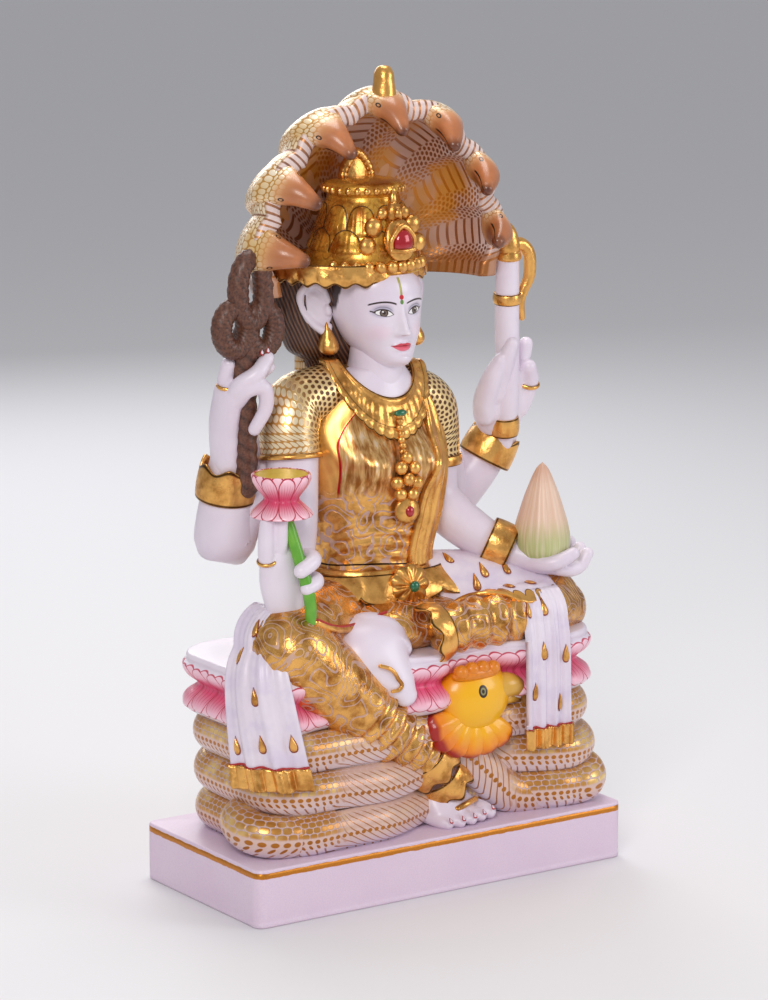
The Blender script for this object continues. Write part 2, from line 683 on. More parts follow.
def serpent_paint():
    """Scale cells on the upper half, a row of dots, a row of slanted dashes and belly strokes below."""
    p = Paint("serpent_scales")
    x, y, z = p.place()
    u, v = p.flow()
    front = (y + x * 0.25).ramp(-30, -44) * z.ramp(132, 118)
    front = front * (x - 20).ramp(62, 46).least((x + 20).ramp(-80, -58))
    upper = v.ramp(0.02, 0.09) * (1 - front * 0.8)
    cell = p.cells(u, v * 4.6, 3.0)
    inside = cell.ramp(0.485, 0.415)
    shine = p.noise(0.05, 2.0)
    scale = p.mix(shine.ramp(0.42, 0.75), TAN, PALE_GOLD)
    painted = inside * upper
    dots = p.oval(abs((u + 0.5).fract() - 0.5), v + 0.10, (0.0, 0.0), (0.36, 0.085)).ramp(1.1, 0.8)
    slant = abs((u + v * 2.2).fract() - 0.5)
    dashes = p.oval(slant, v + 0.32, (0.0, 0.0), (0.24, 0.10)).ramp(1.1, 0.8)
    stroke = p.band((u * 0.75 - abs(v) * 1.5 * (1 - front) + front * v * 4.0).fract(), 0.5, 0.085, 0.03)
    strokes = stroke * v.ramp(-0.44, -0.50).most(front * v.ramp(0.75, 0.6) * v.ramp(-0.95, -0.8))
    belly = p.mix(v.ramp(-0.1, -0.9), p.mix(0.65, stone(p), "cfa07c"), stone(p))
    base = p.mix(painted, p.mix(upper * 0.75, belly, LILAC), scale)
    marks = dots.most(dashes) * (1 - front).most(dots)
    base = p.mix(marks.most(strokes * 0.9), base, p.mix(shine, BROWN_GOLD, AMBER))
    gold = painted.most(marks).most(strokes)
    return p.finish(base, gold * 0.55, 0.40 - gold * 0.12, inside * upper, 0.25, 0.25, 0.15)


def petal_field(u, height):
    """How far inside a petal a place is: 1 on its middle line, 0 on its edge; height is 0 at the root."""
    side = abs((u.fract() if isinstance(u, Wire) else np.mod(u, 1)) - 0.5) * 2
    return 1 - side * side - height ** 3.0


def petal_height(z, waist, rise, fall, most):
    """The way up or down from a lotus's waist: 0 there, 1 at the tips, and never over the most."""
    up, down = (z - waist) / rise, (waist - z) / fall
    if isinstance(z, Wire):
        return up.most(down).least(most)
    return np.minimum(np.maximum(up, down), most)


def lotus_paint():
    """Petals that fade from pink at the waist to white tips, with crimson edges and veins."""
    p = Paint("lotus_petals")
    x, y, z = p.place()
    u, v = p.flow()
    height = petal_height(z, *SEAT_SPAN)
    field = petal_field(u, height)
    behind = petal_field(u + 0.5, height * 0.95)
    inside = field.ramp(-0.02, 0.04)
    edge = p.band(field, 0.03, 0.05, 0.05).most(p.band(behind, 0.03, 0.05, 0.05) * (1 - inside))
    side = (u.fract() - 0.5) / (1.15 - height * 0.55)
    veins = p.band((side * 5.0 + 0.5).fract(), 0.5, 0.06, 0.06) * height.ramp(0.75, 0.35) * inside
    pink = p.mix(height.ramp(0.0, 1.05), "e5537f", "f7cfdc")
    lip = z.ramp(174.6, 175.4).most(z.ramp(137.0, 136.2))
    white = stone(p)
    base = p.cover(white, (inside.most(behind.ramp(0.0, 0.05)), pink), (lip, white),
                   (edge.most(veins * 0.7) * (1 - lip) * 0.95, p.colours.vein))
    return p.finish(base, 0.0, 0.36, p.noise(0.6), 0.04, 0.15, 0.2)


def blouse_paint():
    """Gilded bodice: brushed strands over the breast and engraved swirls below.

    A plain band and a red line follow the armholes, and above the collar the skin is bare marble.
    """
    p = Paint("gilded_bodice")
    x, y, z = p.place()
    side = abs(x + 4)
    breast = z.ramp(290, 303)
    swirls = engraving(p, 21.0, 4.4, 0.10) * (1 - breast)
    streak = p.point(x * 0.26 + p.noise(0.03, 1.0) * 2.0, y * 0.1, z * 0.025)
    brushed = p.noise(1.2, 3.0, 0.6, streak)
    warm = p.mix(brushed.ramp(0.35, 0.65), "93541e", "f0c888")
    armhole = side - 53 + ((z - 330) / 31).most(0.0) ** 1.6 * 21.0
    plain = armhole.ramp(-9.5, -8.9) * (1 - armhole.ramp(6.0, 7.0)) * z.ramp(290, 300)
    bare = ((x + 2) * (x + 2) / 1400.0 + ((y + 8).most(0.0) ** 2.0) / 900.0).least(1.0) * 38.0 + 350.0
    bare = (z - bare).ramp(-0.5, 0.5)
    base = p.cover(gilding(p, 0.9),
                   (breast * 0.75, p.mix(brushed.ramp(0.56, 0.66) * 0.8, warm, "f6e2cc")),
                   (swirls * 0.8, LILAC), (plain, gilding(p, 0.3)),
                   (p.band(armhole, -9.8, 0.45, 0.3) * z.ramp(290, 300), RED),
                   (p.band(z + (x * 0.06).sin() * 2.0, 240.0, 0.5, 0.3), p.colours.outline),
                   (bare, stone(p)))
    metal = (0.88 - swirls * 0.5 - breast * (1 - plain) * 0.22) * (1 - bare)
    relief = (1 - swirls) + brushed * breast * (1 - plain) * 0.5
    return p.finish(base, metal, 0.28 + swirls * 0.2, relief, 0.2)


def gold_paint(name, shade=0.5, size=0.0, pitch=4.4, ink=LILAC):
    """Gold leaf, with engraved lines where their size is given."""
    p = Paint(name)
    base = gilding(p, shade)
    hammer = p.noise(0.13, 4.0)
    if not size:
        return p.finish(base, 0.92, 0.22 + hammer * 0.14, hammer, 0.8)
    lines = engraving(p, size, pitch, 0.075)
    base = p.mix(lines * 0.7, base, ink)
    return p.finish(base, 0.9 - lines * 0.5, 0.25 + lines * 0.2, hammer - lines * 0.25, 0.8)


def crown_paint():
    """Amber gold, with a dark line round each of the carved leaves."""
    p = Paint("crown_gold")
    u, v = p.flow()
    patch = p.noise(0.06, 5.0, 0.65)
    low = petal_field(u * LEAVES, ((v - LOW_LEAVES[0]) / LOW_LEAVES[1]).most(0.0).least(2.0))
    high = petal_field(u * LEAVES + 0.5, ((v - HIGH_LEAVES[0]) / HIGH_LEAVES[1]).most(0.0).least(2.0))
    edges = p.band(low, 0.06, 0.05, 0.05).most(p.band(high, 0.06, 0.05, 0.05) * low.ramp(0.04, -0.02))
    edges = edges * v.ramp(0.23, 0.25) * v.ramp(0.62, 0.58)
    scratch = engraving(p, 15.0, 4.0, 0.08) * v.ramp(0.66, 0.60)
    base = p.cover("f4bc4c", (patch.ramp(0.34, 0.68), "a45a0a"), (scratch * 0.5, "8a4e10"),
                   (edges * 0.9, "3a1a06"))
    relief = 1 - edges.most(scratch * 0.4)
    return p.finish(base, 0.62 - edges * 0.4, 0.27 + scratch * 0.1, relief, 0.25, 0.2, 0.12)


def mesh_sleeve_paint():
    """A net of pale gold with staggered dark cells, closer to white gold on the outer side."""
    p = Paint("gold_net_sleeve")
    x, y, z = p.place()
    u, v = p.flow()
    cell = p.cells(v * 14.5, u * 1.0, 2.2)
    hole = cell.ramp(0.38, 0.30)
    inner = (x + 70 + (z - 340) * 0.18).ramp(-9, 5)
    plain = p.mix(cell.ramp(0.47, 0.40), "d0964a", "fbe9c4")
    dark = p.mix((x + 66 + (z - 340) * 0.18).ramp(-6, 14), "a87a44", "5f3814")
    base = p.mix(inner, plain, p.mix(hole, "f0d298", dark))
    return p.finish(base, 0.65 - hole * inner * 0.4, 0.32, 1 - hole * inner, 0.3)


def hair_paint():
    """Dark brown hair with lighter combed strands."""
    p = Paint("painted_hair")
    x, y, z = p.place()
    strand = p.band((x * 0.27 - y * 0.22 + z * 0.14 + p.noise(0.03, 2.0) * 1.5).fract(), 0.5, 0.10, 0.20)
    base = p.mix(strand * 0.6, "34180f", "94664a")
    return p.finish(base, 0.0, 0.38, strand, 0.3, 0.2, 0.2)


def face_paint():
    """Marble skin with painted brows, eyes, lips and forehead mark, by the head's own proportions."""
    p = Paint("painted_face")
    x, y, z = p.place()
    x = x + (z - LEAN_HEIGHT) * LEAN
    side = abs(x)
    front = y.ramp(2, -3)
    ink = p.colours.outline
    local = (side - EYE[0]) / EYE_HALF
    lift = local * 0.9
    open_by = (1 - local * local).most(0.0) ** 0.75
    level = z - EYE[1] - lift
    eye = (level - open_by * LID_RISE).ramp(0.12, -0.12) * (level + open_by * LID_FALL).ramp(-0.12, 0.12)
    eye = eye * abs(local).ramp(1.0, 0.97)
    shadow = p.oval(side, z, (EYE[0] + 0.8, EYE[1] + 1.8), (10.0, 6.2)).ramp(1.0, 0.45)
    iris = p.oval(side, z, (EYE[0] + 0.1, EYE[1] + 0.5), (2.7, 2.7))
    upper_lid = p.band(level, open_by * LID_RISE, 0.38, 0.25) * abs(local).ramp(1.12, 1.0)
    lower_lid = p.band(level, open_by * -LID_FALL, 0.16, 0.2) * abs(local).ramp(1.05, 0.95)
    flick = p.band(z - EYE[1], (side - EYE[0]) * 0.32 - 0.9, 0.4, 0.25)
    flick = flick * p.band(side, EYE[0] + EYE_HALF + 0.6, 1.6, 0.5)
    crease = p.band(level, open_by * LID_RISE + 2.0, 0.16, 0.3) * abs(local).ramp(1.1, 0.8)
    brow_line = BROW[1] + (1 - ((side - BROW[0]) / 10.5) ** 2.0) * 2.6 - 0.8
    brow = p.band(z, brow_line, 0.55, 0.3) * p.band(side, BROW[0], 9.0, 1.2)
    glint = p.oval(side, z, (EYE[0] + 0.9, EYE[1] + 1.5), (0.55, 0.55)).ramp(1.2, 0.8)
    eyeball = p.cover("f4f1f0", (iris.ramp(1.06, 0.94), "6b5a50"), (iris.ramp(0.45, 0.36), ink),
                      (p.band(iris, 0.98, 0.10, 0.06), ink), (glint, "ffffff"))
    bow = 1 - (side / MOUTH_HALF) ** 2.0
    dip = swell_wire(side, 0.0, 1.9) * 0.8
    upper_lip = MOUTH + bow * 2.8 - dip
    lower_lip = MOUTH - bow * 3.9
    lips = (z - upper_lip).ramp(0.15, -0.15) * (z - lower_lip).ramp(-0.15, 0.15)
    lips = lips * side.ramp(MOUTH_HALF, MOUTH_HALF - 0.5)
    parting = p.band(z, MOUTH + bow * 0.25 - 0.2 + side * 0.06, 0.22, 0.2)
    parting = parting * side.ramp(MOUTH_HALF + 0.8, MOUTH_HALF)
    cheek = p.oval(side, z, (17.0, 416.0), (12.0, 9.0)).ramp(1.0, 0.2)
    nostril = p.oval(side, z, (2.9, NOSE_BASE + 1.2), (1.3, 0.6)).ramp(1.2, 0.7)
    mark = p.band(x, 0.0, 0.9, 0.25) * p.band(z, 449.0, 7.0, 0.6)
    dot = p.oval(x, z, (0.0, 441.8), (1.9, 1.9)).ramp(1.1, 0.9)
    leaf = p.oval(x, z, (0.0, 438.2), (1.5, 1.8)).ramp(1.1, 0.9)
    wisps = p.noise(1.0, at=p.point(0.0, y * 0.5, z * 0.09)) * 9.0
    temple = (y + wisps - (452 - z) * 0.55).ramp(5.0, 8.5) * z.ramp(428.0, 434.0)
    lids = upper_lid.most(lower_lid * 0.8).most(flick).most(crease * 0.5)
    rouge = p.mix(z.ramp(MOUTH - 3.5, MOUTH + 2.5), "f0788c", "d2414f")
    layers = ((cheek * 0.22, "f0b8c2"), (shadow * 0.62, "8d8aa6"), (eye, eyeball), (lids, ink), (brow, ink),
              (lips, rouge), (parting, "9a1526"), (nostril * 0.45, "9a6f78"), (mark, "a9a24a"),
              (leaf, "5d8a3a"), (dot, "c9141c"))
    base = p.cover(stone(p), *((share * front, layer) for share, layer in layers), (temple, "2f170e"))
    return p.finish(base, 0.0, 0.30, p.noise(0.5), 0.02, 0.2, 0.15)


def swell_wire(value, middle, width):
    """The hump 1 / (1 + ((value - middle) / width)^4) as a wire."""
    return 1.0 / (((value - middle) / width) ** 2.0 * ((value - middle) / width) ** 2.0 + 1.0)


def pearl_cells(p, cell, shine):
    """Pearl cells that turn golden in patches, parted by gold lines, by distance from a cell's middle."""
    pearl = p.mix(shine.ramp(0.35, 0.7), "f8e8cc", "e6bf7c")
    return p.mix(cell.ramp(0.48, 0.41), "c28a3a", pearl)


def necks_paint():
    """Pearl cells round the joined necks, with a brown line in each hollow between two necks."""
    p = Paint("joined_necks")
    u, v = p.flow()
    cell = p.cells(v * 44.0, u, 2.4)
    across = (v * math.pi + math.pi / 2).sin()
    hollow = abs((across * (math.pi * HEAD_COUNT / 2)).sin())
    base = pearl_cells(p, cell, p.noise(0.03, 2.0))
    base = p.mix(hollow.ramp(0.16, 0.06) * 0.8, base, "8a5220")
    return p.finish(base, cell.ramp(0.41, 0.48) * 0.6, 0.33, cell.ramp(0.52, 0.20), 0.15, 0.25, 0.15)


def hood_paint():
    """Outside: pearl cells in gold lines. Inside: arcs across each lobe, and dots between lobes."""
    p = Paint("hood_scales")
    u, v = p.flow()
    outside = v.ramp(-0.012, 0.012)
    away = abs(u.fract() - 0.5) * 2
    cell = p.cells(u * 9.0, v * 23.0, 2.4)
    shine = p.noise(0.03, 2.0)
    outer = pearl_cells(p, cell, shine)
    groove = away.ramp(0.95, 0.99)
    outer = p.mix(groove, outer, p.colours.deep_gold)
    depth = v * -1.0
    lip = depth.ramp(LIP_SHARE + 0.03, LIP_SHARE - 0.01)
    strokes = p.band((u * 10.0 + depth * 4.0).fract(), 0.5, 0.14, 0.06) * lip
    comb = p.cells(u * 12.0, depth * 27.0, 2.0).ramp(0.42, 0.32) * (1 - lip) * away.ramp(0.44, 0.50)
    arc = p.band((depth * 13.0 + away * away * 1.4).fract(), 0.5, 0.12, 0.06)
    arc = arc * away.ramp(0.50, 0.44) * (1 - lip)
    ground = p.mix(depth.ramp(0.36, 0.15), p.mix(shine.ramp(0.46, 0.66), "c39a88", "c98838"), "e2cdc8")
    marks = comb.most(arc).most(strokes)
    ends = u.ramp(0.22, 0.05).most(u.ramp(HEAD_COUNT - 0.22, HEAD_COUNT - 0.05))
    inner = p.cover(ground, (marks * 0.85, p.mix(shine.ramp(0.4, 0.6), "86480f", "c07418")),
                    (ends * 0.8, "a8682c"))
    base = p.mix(outside, inner, outer)
    gold = outside * cell.ramp(0.39, 0.47) * 0.6 + (1 - outside) * marks * 0.5
    height = outside * (cell.ramp(0.52, 0.20) - groove) + (1 - outside) * marks * 0.4
    return p.finish(base, gold.least(0.8), 0.38 - gold * 0.08, height, 0.15, outside * 0.25, 0.15)


def serpent_head_paint():
    """Terracotta heads, dark at the snout, with ring eyes and a mouth line; pearl cells at the neck."""
    p = Paint("serpent_heads")
    u, v = p.flow()
    turn = abs(v)
    cell = p.cells(v * 10.0, u * 0.20, 2.4)
    shine = p.noise(0.03, 2.0)
    pearl = pearl_cells(p, cell, shine)
    neck = (u + p.noise(0.07, 2.0) * 14.0).ramp(32.0, 44.0) * turn.ramp(0.80, 0.62)
    ring_eye = p.oval(u, turn, (26.0, 0.36), (1.8, 0.040))
    mouth = p.band(turn, 0.62 + (u - 14.0) * 0.004, 0.016, 0.012) * u.ramp(24.0, 20.0)
    base = p.cover(p.colours.serpent, (u.ramp(10.0, 1.0), "5c2a14"),
                   (p.noise(0.08).ramp(0.4, 0.75) * 0.4, "dd8c58"),
                   (turn.ramp(0.62, 0.80) * 0.75, "6a2c12"), (u.ramp(18.0, 34.0) * 0.8, "dfa46c"),
                   (neck, pearl), (p.band(ring_eye, 0.9, 0.22, 0.15), p.colours.outline),
                   (mouth, "1c0a06"))
    return p.finish(base, neck * 0.3, 0.33, neck * cell.ramp(0.52, 0.20), 0.2, 0.3, 0.15)


def rope_paint():
    """Brown fibre, darkest in the grooves between strands."""
    p = Paint("noose_rope")
    groove = p.tone()
    fibre = p.noise(0.6, 4.0)
    base = p.mix(fibre.ramp(0.2, 0.8), "7e4f3b", "4a2a1d")
    return p.finish(p.mix(groove * 0.85, base, "120806"), 0.0, 0.45, fibre, 0.15, 0.1, 0.2)


def bloom_paint():
    """Held lotus: a yellow heart, pink petals with crimson edges above and below a crimson waist."""
    p = Paint("lotus_bloom")
    x, y, z = p.place()
    u, v = p.flow()
    height = petal_height(z, *BLOOM_SPAN)
    field = petal_field(u * BLOOM_PETALS, height)
    behind = petal_field(u * BLOOM_PETALS + 0.5, height * 0.93)
    inside = field.ramp(-0.02, 0.05)
    edge = p.band(field, 0.03, 0.07, 0.06).most(p.band(behind, 0.03, 0.07, 0.06) * (1 - inside))
    veins = p.band(((u * BLOOM_PETALS).fract() * 7.0).fract(), 0.5, 0.08, 0.08)
    veins = veins * height.ramp(0.9, 0.4) * inside
    pink = p.mix(height.ramp(0.0, 0.9), "d8436c", "fbc9d6")
    base = p.mix(edge.most(veins * 0.5), pink, "b8203f")
    heart = z.ramp(325.6, 326.2) * p.oval(x, y, BLOOM, (19.5, 19.5)).ramp(1.02, 0.98)
    base = p.mix(heart, base, p.mix(p.noise(0.4), "e6c815", "b98c0c"))
    return p.finish(base, 0.0, 0.34, p.noise(0.6), 0.05, 0.2, 0.2)


def stem_paint():
    """Two greens in streaks."""
    p = Paint("lotus_stem")
    streak = p.noise(0.12, 3.0)
    return p.finish(p.mix(streak, "3f8f22", "7fbf3a"), 0.0, 0.35, streak, 0.08, 0.2, 0.2)


def fruit_paint():
    """Pinkish cream above and leaf green below, streaked lengthways."""
    p = Paint("painted_fruit")
    x, y, z = p.place()
    u, v = p.flow()
    streak = p.noise(1.0, at=p.point(u * 60.0, z * 0.02, 0.0))
    base = p.cover("b9bd7e", ((z + streak * 14).ramp(250, 275), "e3bfa6"),
                   ((z + streak * 10).ramp(246, 234), "93a94e"), (z.ramp(285, 303) * 0.6, "c98f72"),
                   (streak.ramp(0.4, 0.7) * 0.35, "f3e2d2"))
    return p.finish(base, 0.0, 0.38, streak, 0.1, 0.15, 0.2)


def bird_paint():
    """Yellow in the middle of the head, turning orange and then red at the edges of the feathers."""
    p = Paint("bird_head")
    x, y, z = p.place()
    away = p.oval(x, z, (37.0, 140.0), (33.0, 36.0))
    mottled = away + (p.noise(0.06, 3.0) - 0.5) * 0.5
    eye = p.oval(x, z, (34.0, 149.5), (3.6, 4.6))
    facing = y.ramp(-68, -72)
    ink = p.colours.outline
    base = p.cover("f8b806", (mottled.ramp(0.5, 1.25), "ee8106"), (mottled.ramp(1.2, 1.6), "c8300a"),
                   ((p.tone() * 1.3).least(1.0), "a81408"), (p.band(eye, 0.82, 0.18, 0.08) * facing, ink),
                   (eye.ramp(0.64, 0.58) * facing, "8d8a5e"), (eye.ramp(0.36, 0.30) * facing, ink))
    return p.finish(base, 0.0, 0.33, p.noise(0.3), 0.08, 0.3, 0.12)


def beak_paint():
    """Yellow, turning brown towards the tip."""
    p = Paint("bird_beak")
    x, y, z = p.place()
    base = p.mix(x.ramp(62, 80), "d9a53a", "8a5a1c")
    return p.finish(base, 0.0, 0.32, p.noise(0.2), 0.1, 0.3, 0.12)


def scarf_paint():
    """White carved cloth with a faint lilac shade in its folds."""
    p = Paint("white_scarf")
    fold = p.noise(0.06, 3.0)
    return p.finish(p.mix(fold.ramp(0.4, 0.7) * 0.6, stone(p), "d3c6de"), 0.0, 0.36, fold, 0.1, 0.1, 0.2)


def plain_paint(name, code, metallic=0.0, roughness=0.35, coat=0.3):
    """One painted colour with a fine brushed unevenness."""
    p = Paint(name)
    brush = p.noise(0.4, 3.0)
    deep = (*(0.6 * channel for channel in colour(code)[:3]), 1.0)
    base = p.mix(brush.ramp(0.3, 0.9) * 0.5, code, deep)
    return p.finish(base, metallic, roughness, brush, 0.05, coat, 0.1)


# The serpent: plinth, coils, loops and seat


def plinth_block(sizes):
    """Slab with rounded corners and eased edges: the plan at each height, moved in near the edges."""
    half_x, half_y = sizes.plinth_width / MM / 2, sizes.plinth_depth / MM / 2
    top = sizes.plinth_height / MM
    ease = 1.6
    bend = np.linspace(0, np.pi / 2, 6)
    heights = np.concatenate([[0], ease * (1 - np.cos(bend)), np.linspace(ease, top - ease, 12),
                              top - ease * (1 - np.sin(bend)), [top]])
    low, high = ease * (1 - np.sin(bend)), ease * (1 - np.cos(bend))
    inward = np.concatenate([[ease], low, np.zeros(12), high, [ease]])
    share = np.arange(280) / 280
    x, y = plan(share, -inward[:, None], half_x, half_y, 7.0)
    return skin(grid(x, y, heights[:, None]))


def front_hollow(x, y):
    """How far the heap draws in at the front: a cosine hump in x, and none behind."""
    away = np.minimum(np.abs(x - RECESS_MIDDLE) / RECESS_REACH, 1)
    return np.where(y > 0, 0.0, 0.5 + 0.5 * np.cos(np.pi * away))


def coil_heap(sizes, cells=144, cols=400):
    """Three heaped rounds of the serpent: each row is the plan moved out by a cosine of its angle."""
    share = np.arange(cols) / cols
    angles = np.radians(np.linspace(-74, 74, 13))
    coil = np.repeat(np.arange(COIL_COUNT), len(angles))[:, None]
    angle = np.tile(angles, COIL_COUNT)[:, None]
    rise, base = sizes.coil_height / MM, sizes.plinth_height / MM
    plain_x, plain_y = plan(share, 0.0, **COIL_PLAN)
    hollow = front_hollow(plain_x, plain_y) * np.array(COIL_RECESS)[coil]
    sway = 1.2 * np.sin(share * TAU * 5 + coil * 1.9)
    out = np.array(COIL_REACH)[coil] + COIL_ROUND * (np.cos(angle) - 1) - hollow
    x, y = plan(share, out, **COIL_PLAN)
    z = base + rise * (coil + 0.5) + 0.5 * rise * np.sin(angle) / np.sin(angles[-1]) + sway * (coil < 2)
    points = grid(x + np.array(COIL_SHIFT)[coil], y, z)
    low, high = points[:1].copy(), points[-1:].copy()
    low[..., 2], high[..., 2] = base - 3, base + rise * COIL_COUNT
    points = np.concatenate([low, low, points, high, high])
    turn = np.concatenate([[-1, -1], (angle / angles[-1]).ravel(), [1, 1]])[:, None]
    flow = grid(np.linspace(0, cells, cols + 1)[None, :], turn)
    return skin(points, "pole", flow)


def front_loops(sizes):
    """The two loops that lie on the plinth; the map's second number is 1 on their crest and -1 below."""
    z = sizes.plinth_height / MM + LOOP_RADIUS - 2
    left = [[-4, -22, z, 13], [-40, -38, z, 14], [-88, -51, z, 16], [-128, -56, z + 1, 16],
            [-146, -44, z + 4, 16], [-143, -22, z + 8, 16], [-120, -14, z + 10, 16]]
    right = [[30, -44, 104, 15], [52, -46, 84, 17], [78, -48, z + 2, 17], [112, -54, z, 16],
             [140, -60, z + 2, 16], [148, -48, z + 8, 16], [128, -30, z + 12, 16]]
    loops = [limb(stops, UP, 84, 40, pitch=sizes.scale_pitch / MM) for stops in (left, right)]
    for loop in loops:
        for key in ("quad_flow", "tri_flow"):
            loop[key][..., 1] = 1 - 2 * np.abs(loop[key][..., 1])
    return loops


def seat_plan(share, out):
    """The seat's outline: the coils' plan, a little longer towards her right."""
    x, y = plan(share, out, **COIL_PLAN)
    return x - 6 * np.clip((-x - 60) / 80, 0, 1), y


def lotus_seat():
    """Double lotus: a waisted drum, whose petals swell by a power of the petal field."""
    profile = spline([[-14, 133], [-4, 136], [2.6, 142], [0, 149], [-9.5, 157], [-1, 165], [3, 172],
                      [0, 175.5], [0.5, 178], [-1, 180.6], [-5, 181]], np.linspace(0, 1, 44))
    cols = PETALS * 12
    share = np.arange(cols) / cols
    out, z = profile[:, :1], profile[:, 1:]
    height = petal_height(z, *SEAT_SPAN)
    field = np.maximum(petal_field(share * PETALS, height), 0) ** 0.4
    behind = np.maximum(petal_field(share * PETALS + 0.5, height * 0.95), 0) ** 0.4
    swollen = np.maximum(field * 1.8, behind * 0.9)
    plain_x, plain_y = plan(share, 0.0, **COIL_PLAN)
    drawn = np.where(plain_y < 0, 9 * np.exp(-((plain_x - 37) / 30) ** 4)
                     + 9 * np.exp(-((plain_x + 70) / 44) ** 4), 0.0)
    x, y = seat_plan(share, out - 1.2 + swollen - drawn)
    points = capped(grid(x, y, z))
    flow = grid(np.linspace(0, PETALS, cols + 1)[None, :], np.linspace(0, 1, len(points))[:, None])
    return skin(points, "pole", flow)


# The body and its dress

TRUNK_LINE = spline(TRUNK, np.linspace(0, 1, 400))


def trunk(turn, z, out=0.0):
    """A point on the trunk: an oval set by height, turned from straight ahead towards her left.

    The bust adds two humps that fade with the square of the distance, and only at the front.
    """
    mid_x, mid_y, half_w, half_d = (np.interp(z, TRUNK_LINE[:, 0], TRUNK_LINE[:, k]) for k in range(1, 5))
    x = mid_x + (half_w + out) * np.sin(turn)
    y = mid_y - (half_d + out) * np.cos(turn)
    away = (np.abs(x - mid_x) - BUST["reach"]) ** 2 + (z - BUST["height"]) ** 2
    rise = BUST["rise"] * np.exp(-away / BUST["spread"] ** 2) * np.clip(2 * np.cos(turn), 0, 1)
    return grid(x, y - rise, z)


def torso():
    """The trunk's surface with soft folds round the belly and fine strands over the breast."""
    turn = TAU * np.arange(176)[None, :] / 176
    z = np.linspace(184, 386, 100)[:, None]
    front = np.clip(np.cos(turn), 0, 1) ** 0.5
    folds = np.sin((z - 7 * np.cos(turn * 1.0) + 3 * np.sin(turn * 3)) * TAU / 8.5)
    belly = swell(z, 262, 26) * front * 0.8 * folds
    strands = 0.35 * np.sin(np.sin(turn) * 46 + z * 0.12) * swell(z, 322, 22) * front
    points = trunk(turn, z, belly + strands)
    return skin(capped(points))


def band(from_turn, to_turn, low, high, out, across=60, down=60, thick=3.0, relief=None, tone=None):
    """A sheet on the trunk between two turning angles and two heights.

    Each is a number or a function: the angles of v and the heights of u.
    """
    at = lambda edge, way: edge(way) if callable(edge) else edge

    def surface(u, v):
        turn = at(from_turn, v) + (at(to_turn, v) - at(from_turn, v)) * u
        z = at(high, u) + (at(low, u) - at(high, u)) * v
        return trunk(turn, z, out + (relief(u, v) if relief else 0.0))
    return sheet(across, down, surface, thick, tone)


def flower(middle, facing, radius, petals, rise, cols=72):
    """A rosette: a shallow dome whose edge and surface wave round with its petals."""
    angle = TAU * np.arange(cols)[None, :] / cols
    share = np.linspace(0, 1, 18)[:, None]
    wave = 0.5 + 0.5 * np.cos(angle * petals)
    reach = radius * share * (0.86 + 0.14 * wave ** 0.5)
    height = rise * (np.exp(-(share * 2.6) ** 2) * 0.7
                     + 0.55 * np.sin(share * np.pi) ** 0.7 * (0.45 + 0.55 * wave ** 0.6))
    facing = unit(facing)
    aside = unit(SIDEWAYS - (facing @ SIDEWAYS) * facing)
    over = np.cross(facing, aside)
    top = (middle + (reach * np.cos(angle))[..., None] * aside
           + (reach * np.sin(angle))[..., None] * over + height[..., None] * facing)
    bottom = top - (height + 2.5)[..., None] * facing
    tone = 0.45 * np.clip(1 - height / rise * 2.2, 0, 1) * (share < 0.97)
    flat = np.zeros_like(tone)
    return skin(np.concatenate([top, bottom[::-1]]), "pole", None, np.concatenate([tone, flat]))


def beads(centres, radius, squash=0.8):
    """Small balls, a little flatter from front to back."""
    return [ball(spot, (radius, radius * squash, radius), 10, 14) for spot in centres]


# The head


